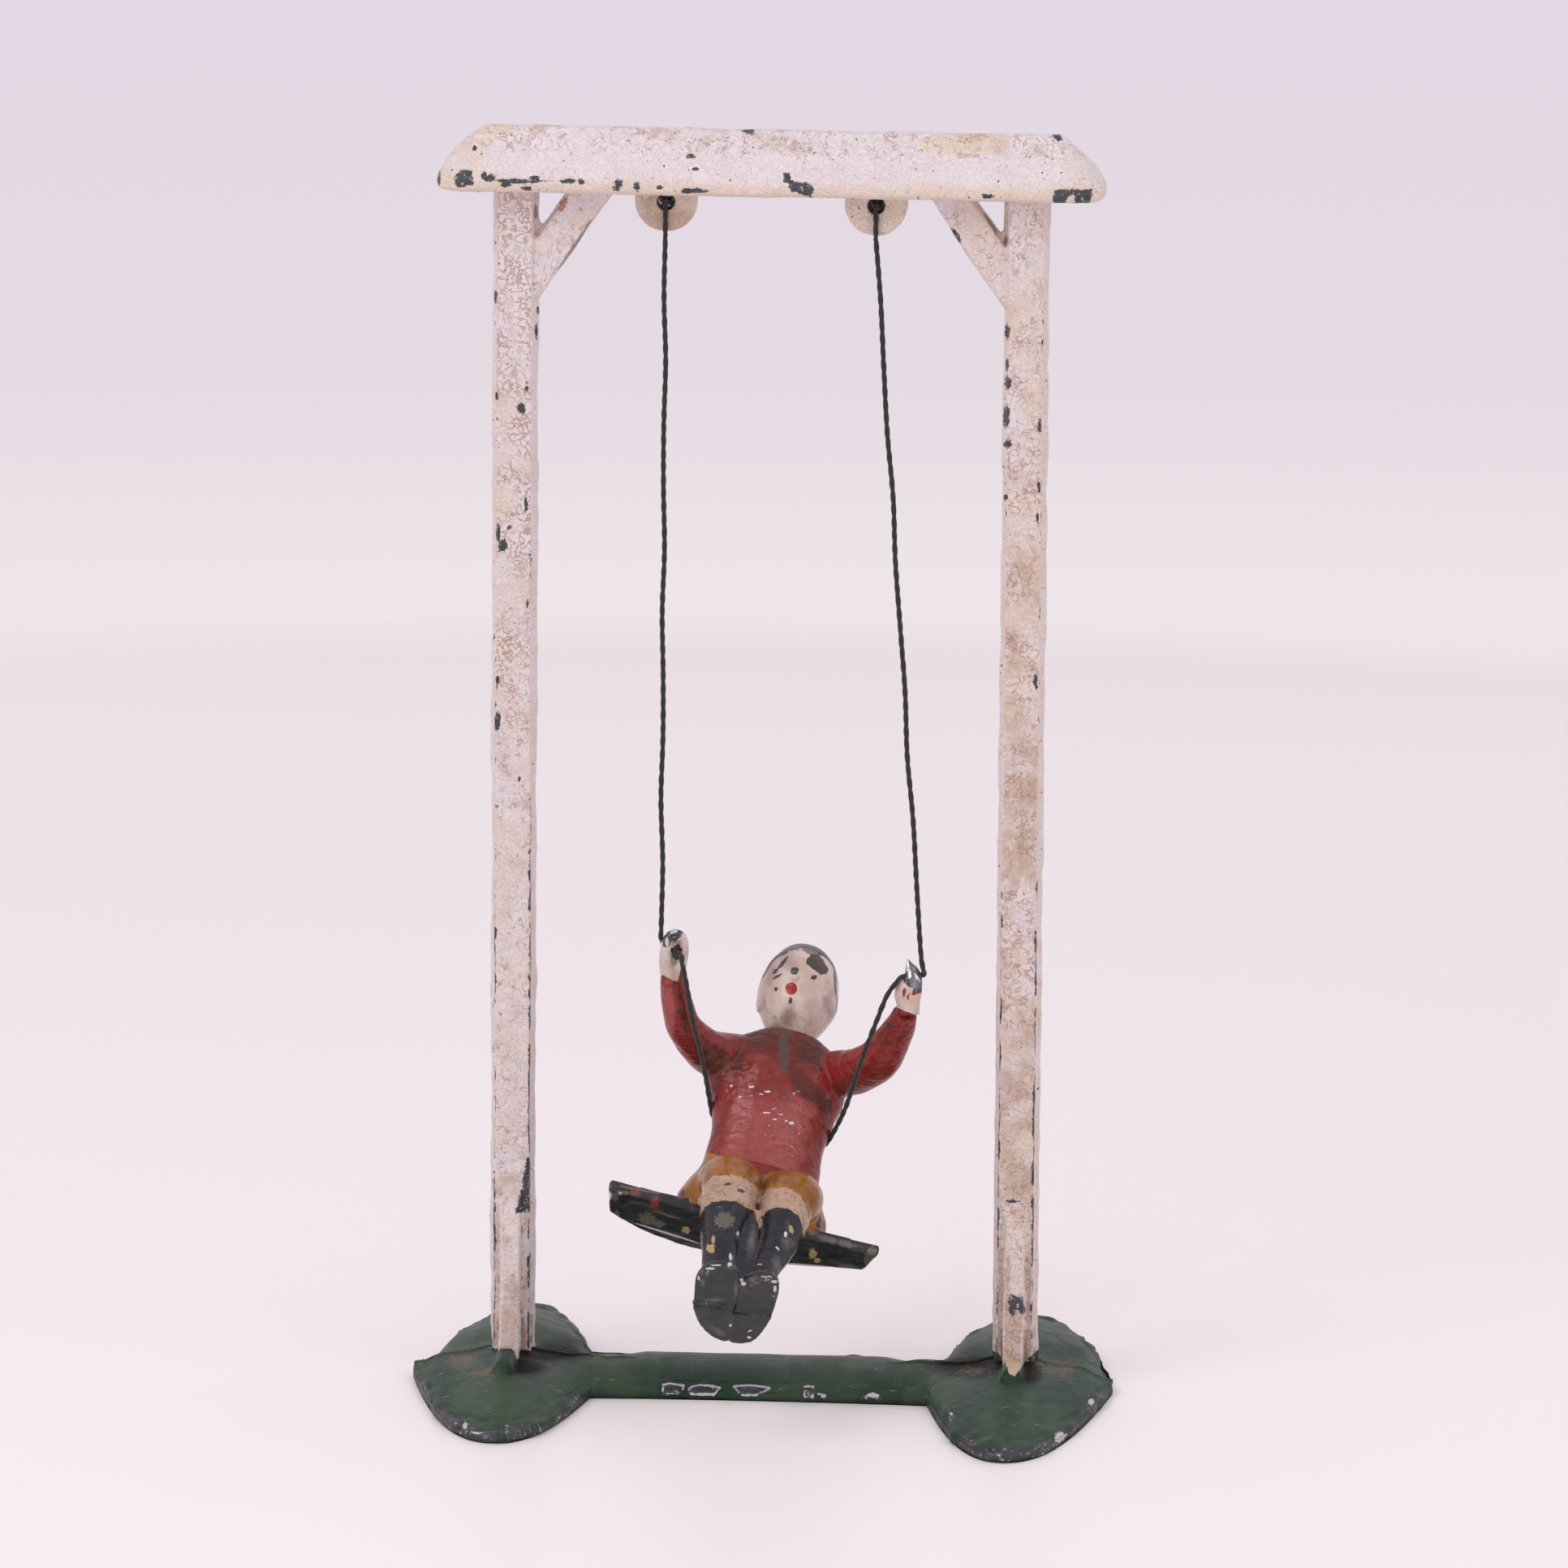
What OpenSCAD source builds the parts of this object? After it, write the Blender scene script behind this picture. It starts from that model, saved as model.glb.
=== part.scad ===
// Cast-metal toy: a child on a swing, hung by two threads from a roofed frame.
// The frame faces -Y, Z is up, and the origin is the middle of the base's underside.

/* [Base] */
// Distance between the outer tips of the two feet
base_len = 61.2; // [58:0.1:66]
// Length of the left foot from front to back
left_foot_d = 41.4; // [38:0.1:50]
// Length of the right foot from front to back
right_foot_d = 44.6; // [38:0.1:50]
// How much more of the right foot lies ahead of its post than behind it
foot_skew = 1.4; // [0:0.1:2]
// Distance from a foot's centre to where its front half blends into the bar
foot_inner = 8.3; // [7:0.1:9.5]
// Distance from a foot's centre to where its back half blends into the bar
foot_inner_back = 7.3; // [6.5:0.1:9.5]
// Half of the bar's width at the middle
bar_half = 5.6; // [4.5:0.1:6.5]
// Thickness of the base at its rim
rim_t = 0.8; // [0.6:0.05:1.2]
// Height of the base along its middle ridge
ridge_h = 2.2; // [1.8:0.05:2.8]
// Extra height of the swelling round each post
swell_h = 1; // [0.5:0.05:1.5]

/* [Posts] */
// Distance between the centres of the two posts
post_gap = 43.8; // [42:0.1:45]
// Width of a post along the middle seam
post_w = 3.9; // [3.5:0.05:4.5]
// Width of a post's front and back faces
face_w = 3; // [2.4:0.05:3.3]
// Depth of a post from front to back
post_d = 3.4; // [2.8:0.05:4]
// Thickness of the seam flange along the posts and braces
seam_t = 0.7; // [0.4:0.05:1]
// Width of the ribs that spread at a post's foot
rib_w = 1.7; // [1.2:0.05:2.2]
// Distance from the front of one rib's toe to the back of the other's
rib_d = 9.6; // [7:0.1:11]
// Height at which the ribs leave the post
rib_h = 18; // [12:0.5:30]
// Height of the roof's underside above the floor
frame_h = 106; // [100:0.5:112]

/* [Braces] */
// How far a brace reaches inwards along the roof, from the post's centre
brace_reach = 8.5; // [7:0.1:10]
// How far down the post a brace reaches
brace_drop = 9.6; // [8:0.1:11]
// Width of a brace
brace_w = 2.9; // [2.2:0.05:3.2]
// Depth of a brace from front to back
brace_d = 2.6; // [2:0.05:3.2]

/* [Roof] */
// Length of the roof along the eaves
eave_len = 57.2; // [54:0.1:60]
// Depth of the roof from front to back
eave_depth = 8.4; // [7:0.1:10]
// Length of the roof's ridge
ridge_len = 49.4; // [46:0.1:51]
// Height of the upright band round the eaves
fascia_h = 1; // [0.7:0.05:1.4]
// Height of the ridge above the upright band
roof_rise = 4.3; // [3.5:0.1:5]

/* [Lugs] */
// Distance between the centres of the two lugs
lug_gap = 18; // [16:0.1:20]
// Radius of a lug
lug_r = 2.7; // [2.4:0.05:3]
// Thickness of a lug
lug_t = 2; // [1.6:0.05:2.4]
// Distance from the roof's underside down to a lug's hole
lug_drop = 1.1; // [1:0.05:1.4]
// Radius of a lug's hole
lug_hole_r = 0.68; // [0.6:0.02:0.8]

/* [Threads] */
// Thickness of the thread
thread_d = 0.48; // [0.4:0.02:0.52]
// Height from the line through the hands up to the lugs' lower edge
hang = 63.9; // [58:0.1:66]
// Radius of a knot
knot_r = 0.85; // [0.75:0.05:1]

/* [Figure] */
// Angle by which the figure leans back
lean = 40; // [36:0.5:44]
// Angle by which the figure leans sideways
roll = 11; // [8:0.5:13]
// Angle by which the figure is turned about its own height
twist = 4.6; // [3:0.1:6]
// Length of the seat board
seat_len = 24; // [22:0.1:26]
// Depth of the seat board at its middle
seat_depth = 8.1; // [8:0.1:10]
// Depth of the seat board at its ends
seat_end = 4.6; // [4:0.1:5.5]
// Thickness of the seat board
seat_t = 0.9; // [0.7:0.05:1.2]
// Half of the jacket's width at the waist
waist_half = 5.05; // [4.7:0.05:5.3]
// Half of the jacket's depth at the waist
waist_deep = 3.2; // [2.9:0.05:3.4]
// Height of the jacket's collar above the seat
collar_h = 18.7; // [18.4:0.1:19.6]
// Radius of the head from side to side
head_r = 3.6; // [3.3:0.05:3.9]
// Height of the head above the collar
head_h = 9.6; // [9.2:0.1:10]
// Radius of the hole in each hand
hand_hole_r = 0.42; // [0.38:0.02:0.46]
// Thickness of each hand
hand_t = 1.5; // [1.3:0.05:1.7]
// Length of each boot's sole
boot_len = 7.5; // [7:0.1:8]

/* [Hidden] */
// Colours of the paints, the bare metal and the thread
GREEN = [0.10, 0.22, 0.14];
CREAM = [0.88, 0.82, 0.77];
BLACK = [0.08, 0.08, 0.09];
RED = [0.62, 0.16, 0.14];
OCHRE = [0.72, 0.47, 0.13];
FLESH = [0.86, 0.74, 0.64];
CORD = [0.05, 0.05, 0.05];
// Sides of the figure's rounded forms and of the threads
SIDES = 20;
THREAD_SIDES = 8;
// Gap between pieces that pass each other closely
CLEAR = 0.15;
// Gap between a post's foot and its socket in the base, and the socket's floor
SOCKET_CLEAR = 0.03;
SOCKET_FLOOR = 1;
// How far a post's sides slope out from the front and back faces to the seam
SIDE_SLOPE = 0.2;
// Power of the curve that the feet's outline follows
FOOT_POWER = 2.3;
// Columns across each half of the base, and rows across each side of the ridge
FOOT_STEPS = 16;
BAR_STEPS = 5;
ROWS = 5;

// Small vector helpers
function unit(v) = v / norm(v);
function turn_x(a, p) = [p[0], p[1] * cos(a) - p[2] * sin(a), p[1] * sin(a) + p[2] * cos(a)];
function turn_y(a, p) = [p[0] * cos(a) + p[2] * sin(a), p[1], -p[0] * sin(a) + p[2] * cos(a)];
function turn_z(a, p) = [p[0] * cos(a) - p[1] * sin(a), p[0] * sin(a) + p[1] * cos(a), p[2]];

// Solid through a row of rings that all have the same number of points
module loft(rings) {
    n = len(rings[0]);
    last = len(rings) - 1;
    points = [for (ring = rings) for (p = ring) p];
    start = [[for (i = [0 : n - 1]) i]];
    end = [[for (i = [n - 1 : -1 : 0]) last * n + i]];
    sides = [for (k = [0 : last - 1]) for (i = [0 : n - 1])
        let (a = k * n + i, b = k * n + (i + 1) % n)
        each [[a, a + n, b], [b, a + n, b + n]]];
    polyhedron(points = points, faces = concat(start, end, sides));
}

// One oval ring about a centre, spanned by the directions u and v
function oval(c, a, b, u, v, n) =
    [for (i = [0 : n - 1]) c + a * cos(360 * i / n) * u + b * sin(360 * i / n) * v];

// Level oval ring: centre x, centre y, height, half width, half depth
function level(s, n = SIDES) = oval([s[0], s[1], s[2]], s[3], s[4], [1, 0, 0], [0, 1, 0], n);

// Round limb along points; each stop is [x, y, z, half width, half depth]
function along(stops, i) =
    let (a = stops[max(i - 1, 0)], b = stops[min(i + 1, len(stops) - 1)])
    unit([b[0] - a[0], b[1] - a[1], b[2] - a[2]]);
module limb(stops, side, n = SIDES) {
    loft([for (i = [0 : len(stops) - 1])
        let (s = stops[i], t = along(stops, i), v = unit(cross(t, side)), u = cross(v, t))
        oval([s[0], s[1], s[2]], s[3], s[4], u, v, n)]);
}
module thread(points) {
    limb([for (p = points) [p[0], p[1], p[2], thread_d / 2, thread_d / 2]], [0.31, 0.23, 0.92],
         THREAD_SIDES);
}

// Base: half depth of the outline at a distance x from the middle
foot_x = post_gap / 2;
foot_outer = base_len / 2 - foot_x;
function foot_half(x, half_d, inner) =
    let (u = (x - foot_x) / (x > foot_x ? foot_outer : inner))
    half_d * max(0, 1 - pow(abs(u), FOOT_POWER));
function bar_half_at(x) = x < foot_x ? bar_half * (1 + 0.2 * pow(x / foot_x, 3)) : 0;
function base_front(x) =
    let (half_d = x < 0 ? left_foot_d / 2 : (right_foot_d + foot_skew) / 2)
    max(foot_half(abs(x), half_d, foot_inner), bar_half_at(abs(x)));
function base_back(x) =
    let (half_d = x < 0 ? left_foot_d / 2 : (right_foot_d - foot_skew) / 2)
    max(foot_half(abs(x), half_d, foot_inner_back), bar_half_at(abs(x)));
function base_top(x) = ridge_h + swell_h * exp(-pow((abs(x) - foot_x) / 3.2, 2));
foot_in_x = foot_x - foot_inner;
// Columns run from the middle outwards and end just short of the pointed tip
half_columns = concat(
    [for (i = [0 : BAR_STEPS - 1]) foot_in_x * i / BAR_STEPS],
    [for (i = [0 : FOOT_STEPS - 1]) foot_in_x + (foot_x - foot_in_x) * i / FOOT_STEPS],
    [for (i = [0 : FOOT_STEPS]) foot_x + foot_outer * 0.985 * sin(90 * i / FOOT_STEPS)]);
columns = concat([for (i = [len(half_columns) - 1 : -1 : 0]) half_columns[i]],
                 [for (i = [1 : len(half_columns) - 1]) -half_columns[i]]);

module base_form() {
    m = 2 * ROWS + 1;
    // Each column is a ring: along the floor at the back and front, then over the top
    loft([for (x = columns)
        let (front = base_front(x), back = base_back(x), top = base_top(x))
        concat([[x, back, 0], [x, -front, 0]],
               [for (j = [0 : m - 1])
                   let (s = (j - ROWS) / ROWS)
                   [x, (s < 0 ? front : back) * s,
                    rim_t + (top - rim_t) * (1 - pow(abs(s), 2.2))]])]);
}

module base_plate() {
    color(GREEN) difference() {
        base_form();
        for (side = [-1, 1])
            translate([side * foot_x, 0, SOCKET_FLOOR])
                linear_extrude(ridge_h + swell_h) foot_section(SOCKET_CLEAR);
    }
}

// Section of a post's foot: the post's core with its two ribs
module foot_section(grow) {
    square([post_w + 2 * grow, seam_t + 2 * grow], center = true);
    square([face_w + 2 * SIDE_SLOPE + 2 * grow, post_d + 2 * grow], center = true);
    square([rib_w + 2 * grow, rib_d + 2 * grow], center = true);
}
// Section of a post: faces slope a little from the middle seam to the front and back
module post_section() {
    square([post_w, seam_t], center = true);
    polygon([[-face_w / 2 - SIDE_SLOPE, 0], [-face_w / 2, -post_d / 2],
             [face_w / 2, -post_d / 2], [face_w / 2 + SIDE_SLOPE, 0],
             [face_w / 2, post_d / 2], [-face_w / 2, post_d / 2]]);
}
module post() {
    swell_top = ridge_h + swell_h;
    translate([0, 0, SOCKET_FLOOR])
        linear_extrude(swell_top - SOCKET_FLOOR) foot_section(0);
    translate([0, 0, SOCKET_FLOOR]) linear_extrude(frame_h - SOCKET_FLOOR) post_section();
    rotate([90, 0, 90]) linear_extrude(rib_w, center = true)
        polygon([[-rib_d / 2, SOCKET_FLOOR], [rib_d / 2, SOCKET_FLOOR],
                 [rib_d / 2, swell_top], [post_d / 2, rib_h],
                 [-post_d / 2, rib_h], [-rib_d / 2, swell_top]]);
}
module left_post() { color(CREAM) translate([-foot_x, 0, 0]) post(); }
module right_post() { color(CREAM) translate([foot_x, 0, 0]) post(); }

// Brace on the right-hand post: outline grown by a flange, between post and roof
module brace_outline(grow) {
    slope = unit([-(brace_reach - post_w / 2), brace_drop]);
    across = brace_w * [slope[1], -slope[0]];
    foot = [-post_w / 2, frame_h - brace_drop];
    head = [-brace_reach, frame_h];
    lower = grow * [-slope[1], slope[0]];
    far = 3 * brace_drop * slope;
    intersection() {
        polygon([foot + lower - far, foot - lower + across - far,
                 foot - lower + across + far, foot + lower + far]);
        translate([-2 * brace_reach, frame_h - 2 * brace_drop])
            square([2 * brace_reach - post_w / 2, 2 * brace_drop]);
    }
}
module brace() {
    rotate([90, 0, 0]) {
        linear_extrude(brace_d, center = true) brace_outline(0);
        linear_extrude(seam_t, center = true) brace_outline(0.2);
    }
}
module left_brace() { color(CREAM) translate([-foot_x, 0, 0]) mirror([1, 0, 0]) brace(); }
module right_brace() { color(CREAM) translate([foot_x, 0, 0]) brace(); }

// Roof: rings of rounded rectangles from the underside up to the ridge
module roof() {
    corner = 6;
    rings = [[frame_h, -0.3], [frame_h + 0.25, 0], [frame_h + fascia_h - 0.2, 0],
             [frame_h + fascia_h, -0.15]];
    hip = (eave_len - ridge_len) / 2;
    color(CREAM) loft(concat(
        [for (r = rings) round_box(r[0], eave_len + 2 * r[1], eave_depth + 2 * r[1], 2.4, corner)],
        [for (k = [1 : 4])
            let (t = k / 4, bulge = 0.35 * sin(180 * t))
            round_box(frame_h + fascia_h + roof_rise * t * (1 - 0.04 * t),
                      eave_len - 2 * hip * t + 2 * bulge,
                      eave_depth * (1 - t) + 1.1 * t + 2 * bulge,
                      2.4 * (1 - t) + 0.5 * t, corner)]));
}
function round_box(z, length, depth, r, n) =
    [for (q = [0 : 3]) for (i = [0 : n])
        let (a = 90 * q + 90 * i / n,
             sx = q == 0 || q == 3 ? 1 : -1,
             sy = q < 2 ? 1 : -1)
        [sx * (length / 2 - r) + r * cos(a), sy * (depth / 2 - r) + r * sin(a), z]];

// Lugs: discs whose top is cut level with the roof's underside
lug_z = frame_h - lug_drop;
lug_low = lug_z - lug_r;
module lug(side) {
    edge = 0.25;
    color(CREAM) translate([side * lug_gap / 2, 0, lug_z]) difference() {
        rotate([90, 0, 0]) {
            cylinder(h = lug_t - 2 * edge, r = lug_r, center = true, $fn = 64);
            for (end = [0, 1]) mirror([0, 0, end])
                translate([0, 0, lug_t / 2 - edge])
                    cylinder(h = edge, r1 = lug_r, r2 = lug_r - edge, $fn = 64);
        }
        translate([0, 0, lug_drop + lug_r]) cube([3 * lug_r, 2 * lug_t, 2 * lug_r], center = true);
        rotate([90, 0, 0]) cylinder(h = 2 * lug_t, r = lug_hole_r, center = true, $fn = 48);
    }
}
module left_lug() { lug(-1); }
module right_lug() { lug(1); }

// Threads hang just in front of the lugs, and swing about the lugs' lower edge
thread_y = -(lug_t / 2 + thread_d / 2 + 0.1);
pivot_z = lug_low - CLEAR;
hitch_z = lug_z - lug_hole_r + thread_d / 2 + 0.03;
module hitch(side) {
    x = side * lug_gap / 2;
    color(CORD) {
        translate([x, lug_t / 2 + knot_r + 0.02, hitch_z]) sphere(r = knot_r, $fn = 32);
        thread([[x, lug_t / 2 + knot_r, hitch_z], [x, 0, hitch_z],
                [x, -lug_t / 2 + 0.05, hitch_z], [x, thread_y + 0.12, hitch_z - 0.08],
                [x, thread_y, hitch_z - 0.35], [x, thread_y, lug_low]]);
    }
}
module left_hitch() { hitch(-1); }
module right_hitch() { hitch(1); }

// The figure has a frame of its own: x to the viewer's right, y to its back, z up
// its spine, with the origin on the middle of the seat board.
left_hole = [-12.1, -10.25, 19.2];
right_hole = [8.2, -13.35, 20.9];
function to_frame(p) = turn_y(roll, turn_x(-lean, turn_z(twist, p)));
function to_figure(p) = turn_z(-twist, turn_x(lean, turn_y(-roll, p)));
// The line through the hands hangs straight below the lugs
hands_at = [2.4, thread_y, pivot_z - hang];
figure_at = hands_at - to_frame((left_hole + right_hole) / 2);
module in_figure() {
    translate(figure_at) rotate([0, roll, 0]) rotate([-lean, 0, 0]) rotate([0, 0, twist])
        children();
}
function placed(p) = figure_at + to_frame(p);

// Upper threads, from below the lugs to just above the reach of the hands
HAND_REACH = 2.4;
left_end = placed(left_hole) + [-1.15, 0, HAND_REACH];
right_end = placed(right_hole) + [0.75, 0, HAND_REACH];
module upper_thread(side, end) {
    thread([[side * lug_gap / 2, thread_y, pivot_z], end]);
}
module left_thread() { color(CORD) upper_thread(-1, left_end); }
module right_thread() { color(CORD) upper_thread(1, right_end); }

// Seat board: straight front edge, bowed back edge, in two layers that are a little
// out of line, as the two halves of the mould were
seat_mid = -0.8;
seat_front = -2.9;
seat_skew = 1.2;
layer_shift = 0.45;
function seat_outline(shift) =
    let (half = seat_len / 2, bow = seat_depth - seat_end)
    concat([for (i = [0 : 8]) let (s = i / 4 - 1)
                [seat_mid + half * s, seat_front - 0.35 * (1 - s * s)]],
           [for (i = [0 : 12]) let (s = 1 - i / 6)
                [seat_mid + half * s * (1 - 0.06 * s * s),
                 seat_front + shift + seat_end - seat_skew / 3 * s
                 + (bow - seat_skew * s) * (1 - s * s)]]);
module board_form() {
    translate([0, 0, -seat_t / 2]) linear_extrude(seat_t / 2) polygon(seat_outline(layer_shift));
    translate([0, 0, -seat_t]) linear_extrude(seat_t / 2) polygon(seat_outline(0));
}
module seat_board() {
    color(BLACK) in_figure() board_form();
}

// Shorts: hips on the board and two thighs that run out over its front edge
hem_h = 4.4;
hip_half = 1.3 * waist_half;
hip_deep = 1.25 * waist_deep;
thigh_half = 0.555 * waist_half;
thigh_deep = 0.765 * waist_deep;
knee_y = -1.72 * waist_deep;
module hips() {
    loft([for (s = [[0, 1.0, 0, 0.9 * hip_half, 0.85 * hip_deep],
                    [0, 1.0, 0.9, 0.99 * hip_half, 0.98 * hip_deep],
                    [0, 0.9, 2, hip_half, hip_deep],
                    [0, 0.7, 3.2, 0.94 * hip_half, 0.95 * hip_deep],
                    [0, 0.5, hem_h, 0.82 * hip_half, 0.88 * hip_deep]]) level(s)]);
}
module thigh(side) {
    x = side * thigh_half;
    limb([[x, 1, thigh_deep + 0.05, thigh_half, thigh_deep],
          [x, 0.36 * knee_y, thigh_deep + 0.05, thigh_half, thigh_deep],
          [x, 0.76 * knee_y, thigh_deep - 0.35, 0.98 * thigh_half, thigh_deep],
          [x, knee_y, thigh_deep - 1.05, 0.93 * thigh_half, 0.98 * thigh_deep]], [1, 0, 0]);
}
module shorts() {
    color(OCHRE) in_figure() difference() {
        union() {
            hips();
            thigh(-1);
            thigh(1);
        }
        board_form();
    }
}

// Jacket: from the hem to the collar
module torso_form() {
    waist_z = 8.5;
    loft([for (s = [[0, 0.4, hem_h, waist_half + 0.3, waist_deep + 0.3],
                    [0, 0.3, 6.2, waist_half + 0.05, waist_deep + 0.1],
                    [0, 0.3, waist_z, waist_half - 0.05, waist_deep],
                    [0, 0.3, 11.5, waist_half + 0.1, waist_deep],
                    [0, 0.3, 14, waist_half + 0.45, waist_deep],
                    [0, 0.4, 16, waist_half + 0.35, waist_deep - 0.2],
                    [0, 0.5, collar_h - 1.6, waist_half - 0.7, waist_deep - 0.5],
                    [0, 0.6, collar_h - 0.6, waist_half - 1.7, waist_deep - 0.6],
                    [0, 0.6, collar_h, waist_half - 2.5, waist_deep - 0.8]]) level(s)]);
}
module jacket() {
    color(RED) in_figure() difference() {
        torso_form();
        thigh(-1);
        thigh(1);
    }
}

// Head and neck, cut by a slanting plane into the face and the hair behind it
module skull(grow) {
    loft([for (s = [[0.7, 0, 0.58, 0.57], [0.75, 0.08, 0.6, 0.62], [0.8, 0.19, 0.74, 0.84],
                    [0.9, 0.31, 0.93, 1.0], [1.1, 0.45, 1, 1.06], [1.25, 0.6, 0.96, 1.04],
                    [1.4, 0.74, 0.86, 0.95], [1.5, 0.86, 0.67, 0.75], [1.6, 0.95, 0.42, 0.47],
                    [1.65, 1, 0.14, 0.16]])
        level([-0.2, s[0], collar_h + s[1] * head_h, s[2] * head_r + grow,
               s[3] * head_r + grow])]);
}
module behind_face() {
    translate([0, 0.9, collar_h + 0.46 * head_h]) rotate([32, 0, 0])
        translate([-2 * head_r, 0, -0.34 * head_h]) cube([4 * head_r, 4 * head_r, 2 * head_h]);
}
module head() {
    color(FLESH) in_figure() difference() {
        skull(0);
        behind_face();
    }
}
module hair() {
    color(BLACK) in_figure() intersection() {
        skull(0.12);
        behind_face();
    }
}

// Arms: each stop is [x, y, z, half width, half depth], from inside the shoulder
left_arm_stops = [[-3.4, 0.4, 15.6, 2.1, 2.2], [-5, 0, 15.3, 2.1, 2.2],
                  [-6.5, -1.2, 15, 2, 2.05], [-8.2, -3.1, 14.9, 1.75, 1.8],
                  [-9.7, -5, 15.4, 1.55, 1.6], [-10.8, -7, 16.4, 1.3, 1.35],
                  [-11.8, -8.6, 17.6, 1, 1]];
right_arm_stops = [[3.2, 0.4, 15.8, 2.1, 2.2], [4.7, -1, 15.6, 2.05, 2.15],
                   [6.1, -3, 15.4, 1.9, 2], [7.5, -5.4, 15.6, 1.7, 1.75],
                   [8.2, -7.6, 16.4, 1.5, 1.5], [8.5, -9.6, 17.6, 1.2, 1.25],
                   [8.6, -11.3, 18.7, 0.95, 1]];
module arm(stops) {
    color(RED) in_figure() difference() {
        limb(stops, [0, 0, 1]);
        torso_form();
    }
}
module left_arm() { arm(left_arm_stops); }
module right_arm() { arm(right_arm_stops); }

// Hands: flat loops, each drilled along its own direction, from the wrist to the tips
left_bore = unit([0.66, -0.54, -0.52]);
right_bore = unit([-0.89, -0.17, -0.45]);
module drill(at, direction) {
    pitch = acos(direction[2]);
    heading = atan2(direction[1], direction[0]);
    translate(at) rotate([0, pitch, heading])
        cylinder(h = 4 * hand_t, r = hand_hole_r, center = true, $fn = 32);
}
function sized(p, a, b) = [p[0], p[1], p[2], a, b];
module hand(arm_stops, hole, tip, bore) {
    flat = hand_t / 2;
    last = len(arm_stops) - 1;
    wrist = [for (k = [0 : 2]) arm_stops[last][k]];
    color(FLESH) in_figure() difference() {
        limb([sized(wrist - 0.15 * (hole - wrist), 0.8, 0.8), sized(wrist * 0.7 + hole * 0.3, flat, 1),
              sized(wrist * 0.3 + hole * 0.7, flat, 1.15), sized(hole * 0.8 + tip * 0.2, flat, 1.15),
              sized(hole * 0.3 + tip * 0.7, flat * 0.8, 0.8), sized(tip, 0.25, 0.3)], bore);
        drill(hole, bore);
        limb(arm_stops, [0, 0, 1]);
    }
}
module left_hand() {
    hand(left_arm_stops, left_hole, left_hole + [-0.15, -1.35, 1.6], left_bore);
}
module right_hand() {
    hand(right_arm_stops, right_hole, right_hole + [-0.65, -0.85, 1.25], right_bore);
}

// Legs: knees below the shorts' hem, then calves down to the ankles
shin_tilt = 19.5;
left_knee = [-2.7, 2.2];
right_knee = [2.3, 2.05];
left_ankle = [-2.3, -9.5, -10.6];
right_ankle = [1.25, -9.5, -10.3];
module leg_form(knee, ankle) {
    x = knee[0];
    r = knee[1];
    limb([[x, -4.6, 0.6, r, r], [x, -6, -0.5, r, r], [x, -6.5, -2.1, 0.95 * r, 0.97 * r],
          [0.85 * x + 0.15 * ankle[0], -7.3, -4.6, 0.84 * r, 0.9 * r],
          [0.4 * x + 0.6 * ankle[0], -8.4, -7.4, 0.72 * r, 0.75 * r],
          [ankle[0], ankle[1], ankle[2], 0.64 * r, 0.66 * r]], [1, 0, 0]);
}
module leg(knee, ankle) {
    color(BLACK) in_figure() difference() {
        leg_form(knee, ankle);
        thigh(-1);
        thigh(1);
        hips();
    }
}
module left_leg() { leg(left_knee, left_ankle); }
module right_leg() { leg(right_knee, right_ankle); }

// Boots: soles square to the shins, a little toed in or out; a ring is
// [y, z, half width, half length]
BOOT_H = 3.1;
module boot(knee, ankle, half, turn) {
    mid = -0.2 * boot_len;
    sole = -BOOT_H;
    color(BLACK) in_figure() difference() {
        translate(ankle) rotate([-shin_tilt, 0, 0]) rotate([0, 0, turn])
            loft([for (s = [[mid, sole, 0.94 * half, boot_len / 2 - 0.15],
                            [mid, sole + 0.25, half, boot_len / 2],
                            [mid + 0.1, sole + 1, half, boot_len / 2 - 0.1],
                            [mid + 0.8, sole + 1.8, 0.96 * half, boot_len / 2 - 1],
                            [0.2, sole + 2.7, 0.93 * half, 1.9], [0, 0.4, 0.6 * half, 1]])
                sole_ring(s)]);
        leg_form(knee, ankle);
    }
}
function sole_ring(s) =
    [for (i = [0 : SIDES - 1])
        let (a = 360 * i / SIDES, c = cos(a), d = sin(a), p = 0.7)
        [s[2] * sign(c) * pow(abs(c), p), s[0] + s[3] * sign(d) * pow(abs(d), p), s[1]]];
module left_boot() { boot(left_knee, left_ankle, 1.8, -8); }
module right_boot() { boot(right_knee, right_ankle, 1.5, -4); }

// Thread tails: through the hands, down and round the waist to the knot at the back
WAIST_Z = 10.6;
knot_y = 0.3 + waist_deep + knot_r;
left_route = [[-11.3, -10.9, 18], [-10.4, -9.6, 16.6], [-9.1, -7.4, 14.5],
              [-7.7, -5, 13.1], [-6.5, -2.6, 11.6]];
right_route = [[7, -13.5, 19.8], [6.5, -12.9, 18.7], [6.2, -11.4, 16.8], [5.9, -9, 14.6],
               [5.8, -5.6, 12.9], [5.8, -2.8, 11.6]];
function round_waist(side) =
    [for (a = [-15 : 15 : 75])
        [side * (waist_half + 0.4) * cos(a), 0.3 + (waist_deep + 0.45) * sin(a),
         WAIST_Z - 0.4 * cos(a)]];
module tail(upper_end, beside, hole, bore, route, side) {
    above = to_figure(upper_end - [0, 0, CLEAR] - figure_at);
    outer = hand_t / 2 + thread_d / 2;
    color(CORD) in_figure()
        thread(concat([above, to_figure(placed(hole) + beside - figure_at),
                       hole - (outer + 0.2) * bore, hole - 0.7 * outer * bore,
                       hole, hole + outer * bore], route, round_waist(side),
                      [[side * (knot_r + 0.08), knot_y, WAIST_Z]]));
}
module left_tail() { tail(left_end, [-1.15, 0, 1.1], left_hole, left_bore, left_route, -1); }
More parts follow.
